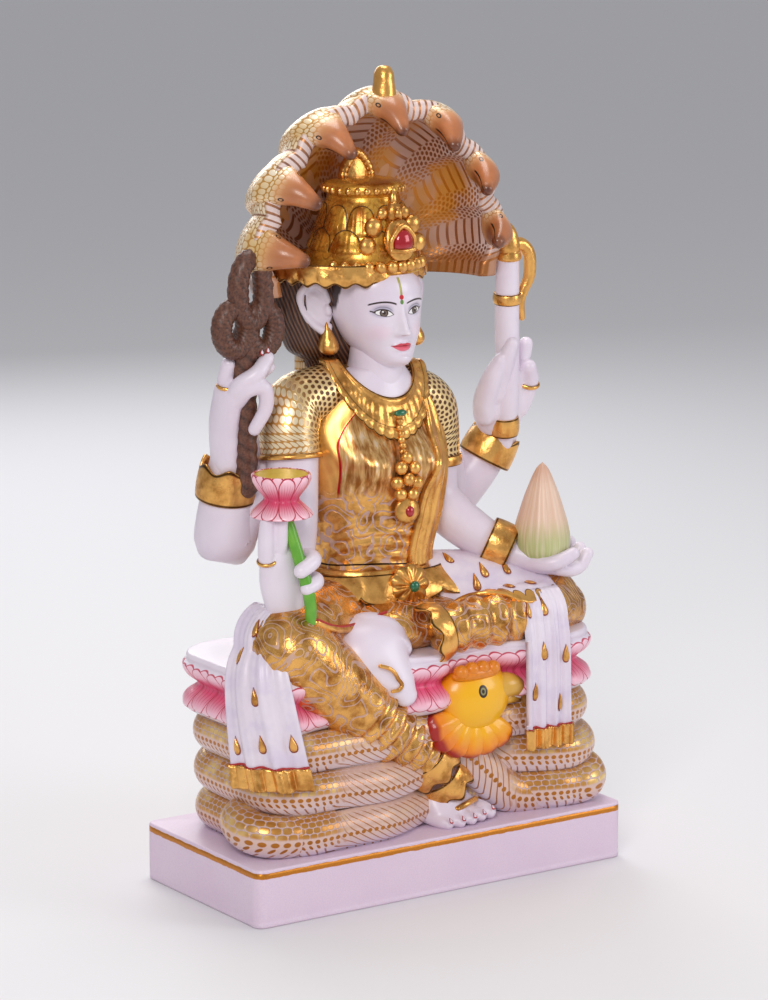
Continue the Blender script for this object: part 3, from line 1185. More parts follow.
def head_form():
    """An egg of stacked ovals between chin and crown, with features as humps on its front.

    Each feature moves the front forward by a height times exp(-(dx/width)^2 - (dz/height)^2).
    """
    stops = spline([[387.2, 1, -9, 5], [388.5, 9, -15, 12], [392, 15, -18.5, 22], [398, 20, -20, 32],
                    [406, 25, -20.5, 41], [416, 29.5, -21.5, 47], [428, 33, -23, 51], [440, 34, -24.5, 52],
                    [452, 32.5, -23, 50], [462, 27, -16, 45], [470, 15, -2, 33], [472.5, 2, 12, 20]],
                   np.linspace(0, 1, 168))
    z, wide, front, back = (stops[:, k:k + 1] for k in range(4))
    angle = TAU * np.arange(168)[None, :] / 168
    deep = np.where(np.cos(angle) > 0, (back + front) / 2 - front, back - (back + front) / 2)
    middle = (back + front) / 2
    square = 0.93
    x = wide * np.sign(np.sin(angle)) * np.abs(np.sin(angle)) ** square
    y = middle - deep * np.sign(np.cos(angle)) * np.abs(np.cos(angle)) ** square
    z = np.broadcast_to(z, x.shape)
    side = np.abs(x)
    ahead = np.clip(np.cos(angle) * 1.6, 0, 1)

    def hump(across, up, half, tall, height):
        return height * np.exp(-((side - across) / half) ** 2 - ((z - up) / tall) ** 2)

    slope = np.clip((437 - z) / (437 - NOSE_BASE - 3), 0, 1)
    under = 1 / (1 + np.exp(-(z - NOSE_BASE - 0.4) * 1.7))
    ridge = np.exp(-(side / (2.5 + 1.7 * slope)) ** 2) * (0.8 + 8.2 * slope ** 1.25) * under * (z < 441)
    ridge *= 1 / (1 + np.exp((z - 438) * 0.9))
    features = (ridge + hump(4.3, NOSE_BASE + 2.2, 2.4, 2.3, 2.6) + hump(0, NOSE_BASE + 2.6, 3.4, 2.6, 1.2)
                - hump(EYE[0], EYE[1] + 0.6, 8.6, 5.4, 3.4) + hump(EYE[0], EYE[1] + 0.3, 5.8, 3.4, 2.4)
                + hump(BROW[0], BROW[1] + 1.5, 9, 2.6, 0.9) - hump(0, 437, 5, 6, 0.6)
                + hump(17, 415, 9, 8, 1.9) + hump(0, 394.5, 8.5, 5, 3.0) - hump(0, 399.4, 7, 1.8, 1.1)
                + hump(2.6, MOUTH + 1.5, 3.2, 1.5, 2.5) + hump(5.6, MOUTH + 0.8, 3.0, 1.3, 1.2)
                + hump(0, MOUTH - 1.9, 5.4, 1.8, 3.0) - hump(0, MOUTH, 8.4, 0.55, 1.3)
                - hump(9.3, MOUTH, 1.5, 1.8, 0.9) - hump(0, 409.6, 1.2, 2.0, 0.5))
    return skin(np.stack([x, y - features * ahead, z], -1))


def lean(parts):
    """The head's tilt: each spot moves towards her right in step with its height, up to the crown."""
    for part in parts:
        part["spots"][:, 0] -= LEAN * (np.minimum(part["spots"][:, 2], LEAN_TOP) - LEAN_HEIGHT)
    return parts


def ear(side):
    """An ear: a shallow cup with a rolled rim and a lobe, flared outwards about its front edge."""
    rim = [[33.5, 20, 437, 2.6], [35.5, 24, 446.5, 2.8], [38.5, 33, 448, 2.8], [40, 39.5, 441, 2.8],
           [39, 39, 430, 2.7], [37, 32, 419, 3.0], [35.4, 24, 413.5, 3.8], [34.5, 21, 417, 2.8]]
    inner = [[35, 27, 438, 1.8], [37, 31.5, 440, 2.0], [37.4, 34, 432, 2.0], [36, 29, 424, 1.8]]
    cup = ball((34.4, 30.2, 431.5), (3.2, 13.4, 18.4), 24, 32, (0.0, 0, -0.33))
    tragus = ball((35.2, 20.5, 429.5), (2.4, 3.0, 4.4), 12, 16)
    parts = [limb(rim, FORWARD, 60, 16, ends=4), limb(inner, FORWARD, 26, 12, ends=3), cup, tragus]
    hinge = (36.0, 19.0, 0.0)
    for part in parts:
        turned_out = (part["spots"] - hinge) @ rotation((0, 0, -0.8)).T + hinge
        part["spots"] = turned_out * (side, 1, 1)
        if side < 0:
            for key in ("quads", "tris", "quad_flow", "tri_flow"):
                part[key] = part[key][:, ::-1]
    return parts


def earring(side):
    """A drop-shaped earring."""
    profile = [[0, 395.8], [4.6, 396.6], [7.6, 400.5], [7.2, 405.5], [4.4, 411.5], [1.9, 417], [0, 421]]
    return turned(profile, (side * 38.5, 21, 0), cols=40)


def hair_forms():
    """Loose hair behind the neck, and a cap of hair over the skull; both combed in fine ridges."""
    def combed(length, angle):
        return 0.5 * np.sin(angle * 46 + length * 0.06) * (0.6 + 0.4 * np.cos(length * 0.1))

    def parted(height, angle):
        return 1 + 0.012 * np.sin(angle * 60 + height * 5) * np.sqrt(1 - height ** 2)

    loose = [[HAIR_MIDDLE, 44, z, half, breadth] for z, half, breadth in
             ((389, 17, 2.0), (398, 21, 2.3), (414, 22, 2.4), (432, 22, 2.5), (452, 21, 2.5))]
    cap = ball((0, 25.5, 441), (35.4, 33, 36), 36, 240, shape=parted)
    return [limb(loose, SIDEWAYS, 28, 176, combed, ends=5), cap]


# Crown and hood


def crown_forms():
    """Tapering cap carved in two rows of leaves; then its beads, scalloped brim and arched top loop."""
    x, y = CROWN
    profile = [[0, 457], [38, 457], [42.5, 461], [42.6, 470], [40.4, 477], [38.0, 482], [35.6, 490],
               [33.0, 498], [30.0, 506], [27.4, 511], [27.4, 514], [29.6, 516.5], [29.8, 520],
               [27, 523.5], [14, 526], [0, 526.5]]

    def row(turn, share, start, span):
        field = petal_field(turn, np.clip((share - start) / span, 0, 2))
        return np.clip(field, 0, 1) ** 0.5 * (share > start - 0.02)

    def leaves(share, angle):
        turn = angle / TAU * LEAVES
        low, high = row(turn, share, *LOW_LEAVES), row(turn + 0.5, share, *HIGH_LEAVES)
        veins = 0.12 * np.cos(np.mod(turn * 2, 1) * TAU * 3)
        return 1.5 * np.maximum(low, high * 0.9) * (1 + veins) - 0.6 * swell(share, 0.655, 0.02)

    cap = turned(profile, (x, y, 0), cols=240, relief=leaves, smooth=7)
    angle = np.linspace(0, TAU, 27)[:-1]
    upper = beads(grid(x + 29.0 * np.sin(angle), y - 29.0 * np.cos(angle), 518.5), 3.1)
    angle = np.linspace(-1.15, 1.15, 12)
    lower = beads(grid(x + 42 * np.sin(angle), y - 44.5 * np.cos(angle), 464.5), 4.5, 0.7)
    brim = cuff((BRIM[0] - 2, BRIM[1], 462), (0, 0.05, -1), 44.5, 14, flare=1.02, scallops=24,
                breadth=1.3, lip=0.24, knobs=1.6, wall=2.6, cols=240)
    brim["spots"][:, 1] -= BRIM_PRESS * np.maximum(brim["spots"][:, 1] - BRIM[1], 0)
    arch = [[x + dx, y + 8, z, radius] for dx, z, radius in
            ((-13, 520, 3.4), (-11.5, 532, 3.5), (-1, 543.5, 3.6), (9.5, 532, 3.5), (12, 520, 3.4))]
    loop = limb(arch, FORWARD, 60, 24, lambda length, angle: 0.5 * np.abs(np.sin(length * 0.75)))
    inner = ball((x - 1, y + 8, 524), (11.5, 3.4, 17), 20, 28)
    return cap, [brim, loop, inner] + upper + lower


def crown_front():
    """Front leaf with a ring and pointed tip over a gem setting, between round scroll knobs."""
    x = CROWN[0] + 3
    setting = flower((x, -22.5, 484), (0, -1, 0.22), radius=15.5, petals=2, rise=4.5)
    setting["spots"] = (setting["spots"] - [x, 0, 484]) * [0.82, 1, 1.12] + [x, 0, 484]
    setting["tones"] *= 0.25
    arch = [[x - 10, -25, 477, 2.0], [x - 9.6, -25.8, 486, 2.0], [x, -25.6, 494.5, 2.3],
            [x + 9.6, -25.8, 486, 2.0], [x + 10, -25, 477, 2.0]]
    bar = [[x - 10, -25.5, 477, 1.9], [x, -27, 476.4, 2.1], [x + 10, -25.5, 477, 1.9]]
    parts = [setting, limb(arch, FORWARD, 60, 20), limb(bar, FORWARD, 30, 20),
             ball((x - 0.5, -14.5, 503), (7, 5.5, 9), 20, 28),
             ball((x - 0.5, -12.5, 512), (3.2, 3.5, 7.5), 16, 20),
             ball((x - 0.5, -20, 503), (3.4, 3, 4.2), 12, 16)]
    for side in (-1, 1):
        for k, (across, up, size) in enumerate(((22, 480, 7.0), (17, 493.5, 7.4), (9.5, 503, 4.6))):
            spot = (x - 1 + side * across, -19.5 + across * 0.28 + k * 1.2, up)
            parts.append(ball(spot, (size, size * 0.7, size)))
    return parts


def hood_reach(angle):
    """Distance from the middle of the hood's base to its rim: half an ellipse with its middle raised."""
    lift, tall = HOOD_WIDEST - HOOD_BASE, HOOD_CREST - HOOD_WIDEST
    c, s, k = np.cos(angle) / HOOD_HALF_WIDTH, np.sin(angle) / tall, lift / tall
    square = c * c + s * s
    return (s * k + np.sqrt(s * s * k * k + square * (1 - k * k))) / square


def lobe_share(angle):
    """The count of lobes passed on the way round the rim."""
    return np.clip((angle - LOBE_MARGIN) / ((np.pi - 2 * LOBE_MARGIN) / HEAD_COUNT), 0, HEAD_COUNT)


def hood_point(angle, depth, inset):
    """A point of the hood: its rim shrinks backwards by a power of a cosine, grooved between lobes."""
    turn = depth * np.pi / 2
    lobe = np.abs(np.sin(np.pi * lobe_share(angle))) ** 0.6
    reach = hood_reach(angle) - LOBE_DEPTH * (1 - lobe) - inset
    rim = reach * np.maximum(np.cos(turn), 0) ** HOOD_FULLNESS
    y = HOOD_FRONT + (HOOD_BACK - HOOD_FRONT - inset * 0.7) * np.sin(turn)
    return grid(rim * np.cos(angle), y, HOOD_BASE + rim * np.sin(angle))


def hood_shell():
    """The hood as one closed shell: outside from rim to back, inside back to the rim, and a rounded lip."""
    angle = np.linspace(0, np.pi, HEAD_COUNT * 20 + 1)[:, None]
    depth = np.sin(np.linspace(0, np.pi / 2 * HOOD_END, 40))
    lip = np.linspace(np.pi, 0, 14)[1:-1]
    depths = np.concatenate([depth, depth[::-1], -0.05 * np.sin(lip)])
    insets = np.concatenate([0 * depth, HOOD_WALL + 0 * depth, HOOD_WALL * (1 - np.cos(lip)) / 2])
    points = hood_point(angle, depths[None, :], insets[None, :])
    v = np.concatenate([depth, -LIP_SHARE - depth[::-1], -LIP_SHARE * (1 - np.cos(lip)) / 2, [0]])
    flow = grid(lobe_share(angle), v[None, :])
    cols = points.shape[1]
    shift = cols - 4
    points = np.roll(points, -shift, 1)
    flow = np.concatenate([np.roll(flow[:, :-1], -shift, 1), flow[:, shift:shift + 1]], 1)
    return skin(points, "zip", flow)


def hood_heads():
    """Seven serpents: each neck follows the middle of its lobe, and its head nods over the rim."""
    heads = []
    span = (np.pi - 2 * LOBE_MARGIN) / HEAD_COUNT
    brow = lambda length, turn: (1.5 * swell(length, 32, 7) * swell(np.abs(turn), 0.95, 0.35)
                                 - 0.9 * swell(np.abs(turn), 1.88, 0.10) * swell(length, 17, 9))
    for i in range(HEAD_COUNT):
        angle = LOBE_MARGIN + (i + 0.5) * span
        ray = np.array([math.cos(angle), 0, math.sin(angle)])
        reach = hood_reach(angle)
        stops = [[*((reach - inset) * ray + [0, y, HOOD_BASE]), *size] for y, inset, *size in HEAD_STOPS]
        stops += [[*hood_point(angle, depth, inset), *size] for depth, inset, *size in NECK_STOPS]
        heads.append(limb(stops, ray, 58, 42, brow, ends=6))
    return heads


def back_forms():
    """The serpents' joined necks behind her back: seven flutes on a broad flat limb."""
    y, half_width, half_depth = BACK_TRUNK
    stops = [[0, y, z, half_depth, half_width / half_depth]
             for z in (SEAT_TOP + 6, 260, 340, 400, HOOD_BASE + 2)]

    def flutes(length, angle):
        hollow = 1 - np.abs(np.sin(np.cos(angle) * np.pi * (HEAD_COUNT / 2)))
        return -1.1 * hollow ** 3 * np.abs(np.sin(angle))

    return limb(stops, SIDEWAYS, 24, 154, flutes, pitch=5.6, ends=5)


# Legs, arms and hands


def leg_forms():
    """Thighs, and the shins in gathered folds; returns the gold parts of both legs."""
    def gathers(start, pitch, depth):
        def relief(length, angle):
            return (depth * np.clip((length - start) / 20, 0, 1)
                    * np.sin(length * TAU / pitch + np.sin(angle)))
        return relief

    right_thigh = limb([[-30, 10, 200, 27], [-78, -18, 204, 31], [-116, -44, 198, 29.5]], UP, 30, 60)
    right_shin = limb([[-115, -49, 195, 29.5], [-95, -50, 176, 31], [-62, -52.5, 147, 28],
                       [-26, -51.5, 117, 22.5], [6, -44, 95, 18]], UP, 120, 64, gathers(95, 12.5, 2.0))
    left_thigh = limb(LEFT_THIGH, UP, 30, 60)
    left_shin = limb(LEFT_SHIN, UP, 104, 64, gathers(72, 17.0, 1.3))
    return [right_thigh, right_shin, left_thigh, left_shin, ball((-4, -14, 196), (66, 44, 22), 24, 48)]


def foot_forms():
    """Right foot flat on the plinth with five toes, and the left foot hanging over the seat's edge."""
    right = [limb([[12, -26, 62, 16], [19, -41, 61, 14, 1.35], [28, -53, 53, 9, 2.4]], SIDEWAYS, 40, 48)]
    right += [limb([[x - 5, y + 14, z + 2, r], [x, y, z, r], [x + 2, y - 5, z - 1, r * 0.8]], SIDEWAYS,
                   14, 20, ends=6) for x, y, z, r in TOES]
    left = [limb([[-38, -44, 198, 14, 1.7], [-46, -55, 188, 15, 1.95], [-36, -66, 166, 11, 1.45],
                  [-30, -70, 154, 8, 1.15]], SIDEWAYS, 60, 72)]
    return right, left


def arm_forms():
    """Bare arms: the rear pair bent up at the elbows, and the front forearms on the knees."""
    routes = [[[-54, 34, 352, 21], [-86, 42, 306, 21], [-106, 46, 274, 22], [-113, 46, 262, 23],
               [-114, 44, 276, 22], [-114, 41, 298, 19], [-118, 36, 324, 12]],
              [[-74, 15, 334, 20], [-80, 4, 278, 18], [-98, -20, 247, 16], [-114, -40, 226, 12]],
              [[56, 24, 330, 18], [58, 22, 300, 18], [60, 18, 275, 18], [80, -2, 251, 16.5],
               [104, -22, 236, 12]], [[46, 36, 340, 20], [72, 44, 304, 20], [90, 48, 274, 20]],
              [[93, 48, 270, 20], [112, 42, 292, 18], [128, 34, 316, 14]]]
    sides = [FORWARD, SIDEWAYS, SIDEWAYS, FORWARD, FORWARD]
    return [limb(stops, side, 40, 36) for stops, side in zip(routes, sides)]


def sleeve_forms():
    """Short sleeves over each shoulder, a little wider than the arm and blunt at the hem."""
    right = limb([[-32, 19, 371, 18], [-46, 20, 369, 19.8], [-66, 21, 362, 22.5], [-75, 17, 346, 22.5],
                  [-76, 14, 325, 22.0]], UP, 50, 72, pitch=4.4, ends=5, blunt=0.12)
    left = limb([[24, 20, 366, 17.5], [38, 21, 361, 19], [54, 24, 349, 21], [59, 25, 332, 20.5],
                 [60, 24, 306, 19.5]], UP, 50, 72, pitch=4.4, ends=5, blunt=0.12)
    return [right, left]


def hand(palm, fingers, side=SIDEWAYS):
    """A palm and its fingers, each a limb; they are joined into one form afterwards."""
    return [limb(palm, side, 30, 36)] + [limb(stops, UP, 30, 20, ends=6) for stops in fingers]


def hand_forms():
    """The four hands: round the noose, round the goad, round the bloom's stem, and under the fruit."""
    rear_right = hand([[-118, 35, 318, 11, 1.2], [-123, 30, 350, 9.5, 1.6], [-124, 22, 376, 9, 1.6]],
                      [[[-126, 22, 376, 6.5], [-126, 22, 386, 6.5], [-127, 17, 398, 5.5]],
                       [[-124, 14, 376, 6.4], [-122, 8, 384, 6.4], [-112, 2, 392, 6.2],
                        [-101, 5, 402, 5.2]],
                       [[-114, 30, 358, 8], [-110, 26, 370, 8], [-104, 18, 386, 6.5], [-99, 7, 395, 5]],
                       [[-122, 14, 370, 6], [-118, 5, 380, 6], [-107, 1, 381, 6], [-104, 3, 366, 5.5],
                        [-112, 6, 350, 4.8]]], FORWARD)
    rear_left = hand(
        [[129, 32, 314, 12], [122, 25, 340, 13, 1.8], [121, 17, 366, 10, 1.9]],
        [[[106, 22, 336, 9], [103, 18, 348, 9], [104, 10, 366, 8], [108, 5, 380, 5.5]],
         [[113, 16, 352, 8], [113, 11, 366, 8], [113, 5, 380, 7], [116, 1, 393, 5]],
         [[138, 22, 338, 8], [141, 18, 350, 8], [141, 13, 362, 7.5], [136, 7, 372, 6]],
         [[134, 20, 360, 7], [136, 16, 376, 6.6], [137, 12, 389, 5.5]]])
    front_right = hand(
        [[-115, -40, 224, 12, 1.2], [-119, -42, 246, 12, 1.5], [-122, -44, 266, 10, 1.7]],
        [[[-133, -44, 256, 6], [-137, -48, 272, 6], [-138, -50, 286, 5.6], [-137, -50, 296, 5]],
         [[-123, -44, 262, 6], [-126, -50, 276, 5.8], [-127, -52, 288, 5.5], [-126, -52, 297, 5]],
         [[-108, -42, 262, 6.5], [-102, -52, 264, 6.4], [-106, -62, 263, 6], [-118, -65, 258, 5.5]],
         [[-106, -40, 244, 6], [-99, -50, 247, 6], [-102, -60, 247, 6], [-112, -64, 244, 5.2]]])
    front_left = hand(
        [[102, -20, 237, 12.5], [116, -28, 229, 9, 1.9], [132, -33, 225, 7.4, 2.6]],
        [[[126, -46, 226, 6], [136, -48, 224, 5.8], [145, -49, 226, 5.4], [151, -50, 235, 4.8]],
         [[126, -37, 225, 6], [137, -38, 223, 5.9], [146, -38, 226, 5.6], [152, -39, 237, 4.9]],
         [[126, -27, 226, 6], [137, -27, 224, 5.9], [146, -26, 227, 5.6], [151, -27, 240, 4.9]],
         [[124, -17, 228, 6], [135, -16, 226, 5.7], [143, -15, 229, 5.4], [148, -17, 241, 4.8]],
         [[108, -34, 232, 7], [115, -47, 231, 6.4], [122, -53, 233, 6], [133, -56, 238, 5]]], FORWARD)
    return rear_right, rear_left, front_right, front_left


def cuff_forms():
    """Bracelets: wrists and elbows of the rear arms, the front left wrist, and the trouser cuffs."""
    arms = [cuff((-114, 41, 305), (0, -0.2, 1), 21.5, 24, flare=0.92, scallops=6, lip=0.2),
            cuff((122, 38, 306), (0.5, -0.2, 1), 19.5, 20, flare=0.92, scallops=6, lip=0.25),
            cuff((94, -14, 242), (0.8, -0.65, -0.45), 17, 20, flare=0.98)]
    ankles = [cuff((4, -44, 96), (1, 0.3, -1.1), 20.5, 16, flare=1.12, scallops=8, lip=0.45, knobs=1.6),
              cuff((20, -40, 78), (0.9, 0.2, -1.1), 19.5, 14, flare=1.15, scallops=8, lip=0.5, knobs=1.6),
              cuff((5, -56, 194), (-1, 0, -0.2), 20, 14, flare=1.08, scallops=7, lip=0.4, knobs=1.2)]
    return arms, ankles


def collar_form():
    """A broad collar: it lies on the shoulders and drops to a point in front, with scalloped edges.

    By the turn round the neck, its inner and outer edges are ovals whose height falls with a power of
    the cosine in front.
    """
    angle = TAU * np.arange(204)[:, None] / 204
    share = np.linspace(0, 1, 51)[None, :]
    ahead = np.maximum(np.cos(angle), 0)
    scallop = np.abs(np.cos(angle * 17)) ** 0.7
    share_out = share * (1 + 0.07 * scallop * share ** 4)
    x = -2 + (31 + 13 * share_out) * np.sin(angle)
    y = 13 - (24.5 + 7.5 * share_out) * np.cos(angle)
    z = 390 - 25 * ahead ** 1.2 - share_out * (1 + 29 * ahead ** 1.1) - 0.09 * x
    relief = (1.3 * swell(share, 0.86, 0.10) * (0.4 + 0.6 * scallop) + 1.1 * swell(share, 0.10, 0.08)
              + 0.9 * swell(share, 0.48, 0.16) * (0.5 + 0.5 * np.cos(angle * 34)))
    facing = unit(grid(np.sin(angle), -np.cos(angle) * 1.2, 0.6))
    points = grid(x, y, z) + facing * relief[..., None]
    rims = swell(share, 0.02, 0.014) + swell(share, 0.98, 0.014) + 0.7 * swell(share, 0.72, 0.018)
    return hoop(points, 3.5, rims + 0 * angle)


def belt_forms():
    """The belt's leafy front, spread over both thighs, its plain upper band, and its rosette."""
    def scalloped(u):
        return 220 - 7 * np.abs(np.sin(u * np.pi * 7)) ** 0.6

    def leaf(u, v):
        relief = 2.6 * np.abs(np.sin(u * np.pi * 7)) ** 0.5 * np.sin(v * np.pi) + 0.5 * np.sin(u * 90) * v
        return relief + (7 + 13 * v) * (swell(u, 0.25, 0.16) + swell(u, 0.82, 0.12))

    rims = lambda u, v: swell(v, 0.02, 0.02) + swell(v, 0.97, 0.025)
    rounded = lambda u, v: 1.2 * np.sin(v * np.pi)
    front = band(-2.4, 1.72, scalloped, 235, out=5.0, across=120, down=40, thick=4.0, relief=leaf,
                 tone=rims)
    upper = band(-1.72, 1.72, 231, 238, out=3.0, across=60, down=6, thick=3.0, relief=rounded)
    return [front, upper, flower((0, -31, 226), (-0.12, -1, 0.1), radius=16.5, petals=9, rise=6.5)]


def necklace_forms():
    """A fine chain, a cluster of knobs and a pendant."""
    knobs = [(0, -27, 322), (-6, -29, 315), (6, -29, 314), (-9, -28, 304), (0, -30, 306), (8, -29, 303),
             (-6, -28, 295), (5, -28, 294)]
    chain = [(0.5 * (k % 2) - 0.2, -17 - 0.9 * k, 352 - 4.4 * k) for k in range(7)]
    pendant = flower((0, -27.5, 282), (-0.1, -1, 0), radius=10.5, petals=1, rise=4.5, cols=48)
    return beads(knobs, 5.2) + beads(chain, 3.0) + [pendant]


def shoulder_scarf():
    """The gold scarf that falls over her left side, and the red line along its outer border."""
    folds = lambda u, v: 1.3 * np.cos(u * TAU * 3.2 + v * 1.5) + 0.5 * np.cos(u * TAU * 7)
    inner = lambda v: 0.75 - 0.45 * np.sin(v * np.pi * 0.55)
    outer = lambda v: 1.75 - 0.35 * v
    edge = lambda v: outer(v) - 0.16
    return (band(inner, outer, 236, 362, out=4.0, across=56, down=60, thick=5.0, relief=folds),
            band(edge, lambda v: edge(v) + 0.02, 237, 360, out=6.0, across=6, down=120, thick=4.0))


def ring_forms():
    """Three finger rings, and the rings round the toes and over the left foot."""
    return [cuff((-126, 21, 381), (0, -0.2, 1), 6.3, 3, wall=1.3, cols=64),
            cuff((-135, -46, 264), (-0.25, -0.25, 1), 5.8, 3, wall=1.3, cols=64),
            cuff((141, 14.5, 358), (0, -0.4, 1), 7.6, 3.4, wall=1.3, cols=64),
            limb([[23, -61, 56.5, 2.2], [32, -60.5, 59, 2.3], [43, -56, 60, 2.2]], UP, 40, 16),
            limb([[-56, -75, 181, 1.5], [-50, -77, 179, 1.5], [-45, -77.5, 175, 1.5],
                  [-42, -77.5, 170, 1.5], [-38.5, -77.5, 165, 1.5], [-41, -77.5, 161.5, 1.5],
                  [-46, -76, 160.5, 1.3]], UP, 60, 16)]


def nail_forms(size, rise):
    """A small drop on each toe of the right foot and on two fingertips."""
    nails = [((x + 2, y - 5 - r * 0.7, z - 1 + r * 0.75), (0, -0.7, 0.72)) for x, y, z, r in TOES]
    nails += [((-107.3, 2.4, 407.3), (0, -1, 0.2)), ((-102.2, 2.3, 408.3), (0, -1, 0.2))]
    return [drop(spot, facing, -UP, size, size * 1.1, rise) for spot, facing in nails]


# What she holds


def rope(stops, cols=24, rows=96):
    """A twisted rope: three strands, a cosine that turns round the rope as it runs along."""
    twist = lambda length, angle: 1.1 * np.abs(np.cos(1.5 * angle + length * 0.30)) - 0.9
    groove = lambda length, angle: 1 - np.abs(np.cos(1.5 * angle + length * 0.30)) ** 0.5
    return limb(stops, SIDEWAYS, rows, cols, twist, tone=groove)


def rope_loop(x, y, z, half_x, half_z, radius):
    """A closed loop of the same rope round an oval."""
    t = TAU * np.arange(108)[:, None] / 108
    a = TAU * np.arange(20)[None, :] / 20
    strand = np.abs(np.cos(1.5 * a * 2 + t * 9))
    r = radius - 0.9 + 1.1 * strand
    points = np.stack([x + (half_x + r * np.cos(a)) * np.sin(t), y - r * np.sin(a) + 0 * t,
                       z + (half_z + r * np.cos(a)) * np.cos(t)], -1)
    return ring(points, 1 - strand ** 0.5)


def noose_forms():
    """Three loops, and the twisted ends that hang from them."""
    return [rope_loop(-113, 8, 452, 11, 23, 8), rope_loop(-126, 10, 425, 11, 15, 8),
            rope_loop(-103, 10, 423, 11, 15, 8),
            rope([[-113, 12, 434, 8], [-114, 13, 420, 10], [-115, 14, 405, 10], [-118, 16, 384, 7]]),
            rope([[-114, 14, 396, 8], [-112, 18, 350, 8.5], [-109, 22, 304, 8.5]])]


def goad_forms():
    """White staff; then the gold parts: point, rings, cap and hook."""
    staff = limb([[124, 24, 312, 8], [121, 14, 352, 9], [116, 8, 420, 9.4], [113.6, 3.4, 462, 8.4]],
                 SIDEWAYS, 60, 48)
    point = turned([[0, -10], [8.9, -9], [9.2, -4], [8.2, -2], [8.6, 1], [7.6, 7], [4.6, 15], [0, 20]],
                   (113.3, 2.5, 466), 40, axis=(-0.06, -0.1, 1))
    rings = [cuff((115.5, 7, 427), (-0.06, -0.1, 1), 8.8, 8.5, cols=72),
             cuff((123, 20, 326), (-0.1, -0.15, 1), 9.2, 15, cols=72)]
    hook = limb([[114, 2, 468, 5], [124, 1.5, 468, 5], [131, 1, 460, 5], [132.5, 2, 444, 4.6],
                 [128, 3.5, 432, 4], [125.6, 4, 424, 3.6], [128, 5, 411, 2.4]], FORWARD, 70, 30)
    return [staff], [point, hook] + rings


def bloom_form():
    """The held lotus: a profile turned about its axis, swelling in petals by the petal field."""
    profile = spline([[0, 299.5], [11, 300], [20, 296.4], [23, 296], [21, 299], [15, 304.5], [11.8, 308],
                      [13.8, 312], [18.6, 318], [21.6, 324], [22, 328], [20.4, 328.2], [19.4, 326.6],
                      [10, 326.4], [0, 326.4]], np.linspace(0, 1, 60))
    cols = BLOOM_PETALS * 16
    u = np.arange(cols + 1)[None, :] / cols
    radius, z = np.maximum(profile[:, :1], 0), profile[:, 1:]
    height = petal_height(z, *BLOOM_SPAN)
    field = np.maximum(petal_field(u * BLOOM_PETALS, height), 0) ** 0.5
    behind = np.maximum(petal_field(u * BLOOM_PETALS + 0.5, height * 0.93), 0) ** 0.5
    share = np.arange(len(z))[:, None] / len(z)
    swollen = radius + np.where((radius > 11) & (share < 0.8), np.maximum(field * 2.0, behind) - 0.8, 0)
    droop = -1.6 * (1 - np.maximum(field, behind)) * (radius > 19) * (z > 320)
    angle = TAU * u[:, :-1]
    points = grid(BLOOM[0] + swollen[:, :-1] * np.sin(angle), BLOOM[1] - swollen[:, :-1] * np.cos(angle),
                  z + droop[:, :-1])
    flow = grid(u, share)
    return skin(points, "pole", flow)


def fruit_form():
    """A pointed fruit with faint flutes."""
    profile = [[0, 227.6], [9, 228], [15, 231], [20.4, 239], [21.7, 247], [20.4, 257], [17.2, 268],
               [13.4, 280], [9.2, 291], [4.6, 301], [0, 306]]
    flutes = lambda share, angle: 0.25 * np.cos(angle * 16) * np.sin(share * np.pi)
    return turned(profile, (121, -32, 0), cols=72, relief=flutes)


# Cloths and the cock-headed serpent


def cloth_surface(top_edges, hem_edges, top, bottom, knee, out=0.0, pleats=0, folds=3.0):
    """Hanging cloth: it follows the seat's plan between two shares of the way round, with cosine folds.

    Above the knee's middle it bends inwards round the knee, whose distance, radius and height are given.
    """
    reach, radius, height = knee

    def surface(u, v):
        above = top_edges[0] + (top_edges[1] - top_edges[0]) * u
        below = hem_edges[0] + (hem_edges[1] - hem_edges[0]) * u
        z = top + (bottom - top) * v
        fold = (0.5 + 1.8 * v) * np.cos(u * folds * TAU + 0.6 * np.sin(v * 3))
        fold = fold + 0.4 * np.cos(u * folds * 2.7 * TAU)
        level = np.clip((z - height) / radius, 0, 0.995)
        inward = np.where(z > height, reach - radius * np.sqrt(1 - level ** 2),
                          (reach - radius) * np.exp(-np.abs(height - z) / 14))
        crease = 1.5 * np.abs(np.cos(u * pleats * np.pi)) ** 0.5 if pleats else 0.0
        x, y = seat_plan(above + (below - above) * v, 6.0 + fold - inward + out + crease)
        return np.stack([x, y, z + 0 * u], -1)
    return surface


def cloth_forms(edges, drops):
    """The cloth, its gold hem in pleats, and its drops in gold with a red-brown edge under each."""
    surface = cloth_surface(*edges)
    cloth = sheet(64, 56, surface, thick=4.5)
    pleated = cloth_surface(*edges, out=0.9, pleats=8)
    hem = sheet(120, 10, lambda u, v: pleated(u, 0.87 + 0.13 * v), thick=6.0)
    border = lambda u, v: cloth_surface(*edges, out=1.5)(u, 0.860 + 0.010 * v + 0.006 * np.cos(u * 22))
    line = sheet(100, 4, border, thick=4.0)
    return cloth, hem, line, *drops_on(surface, drops)


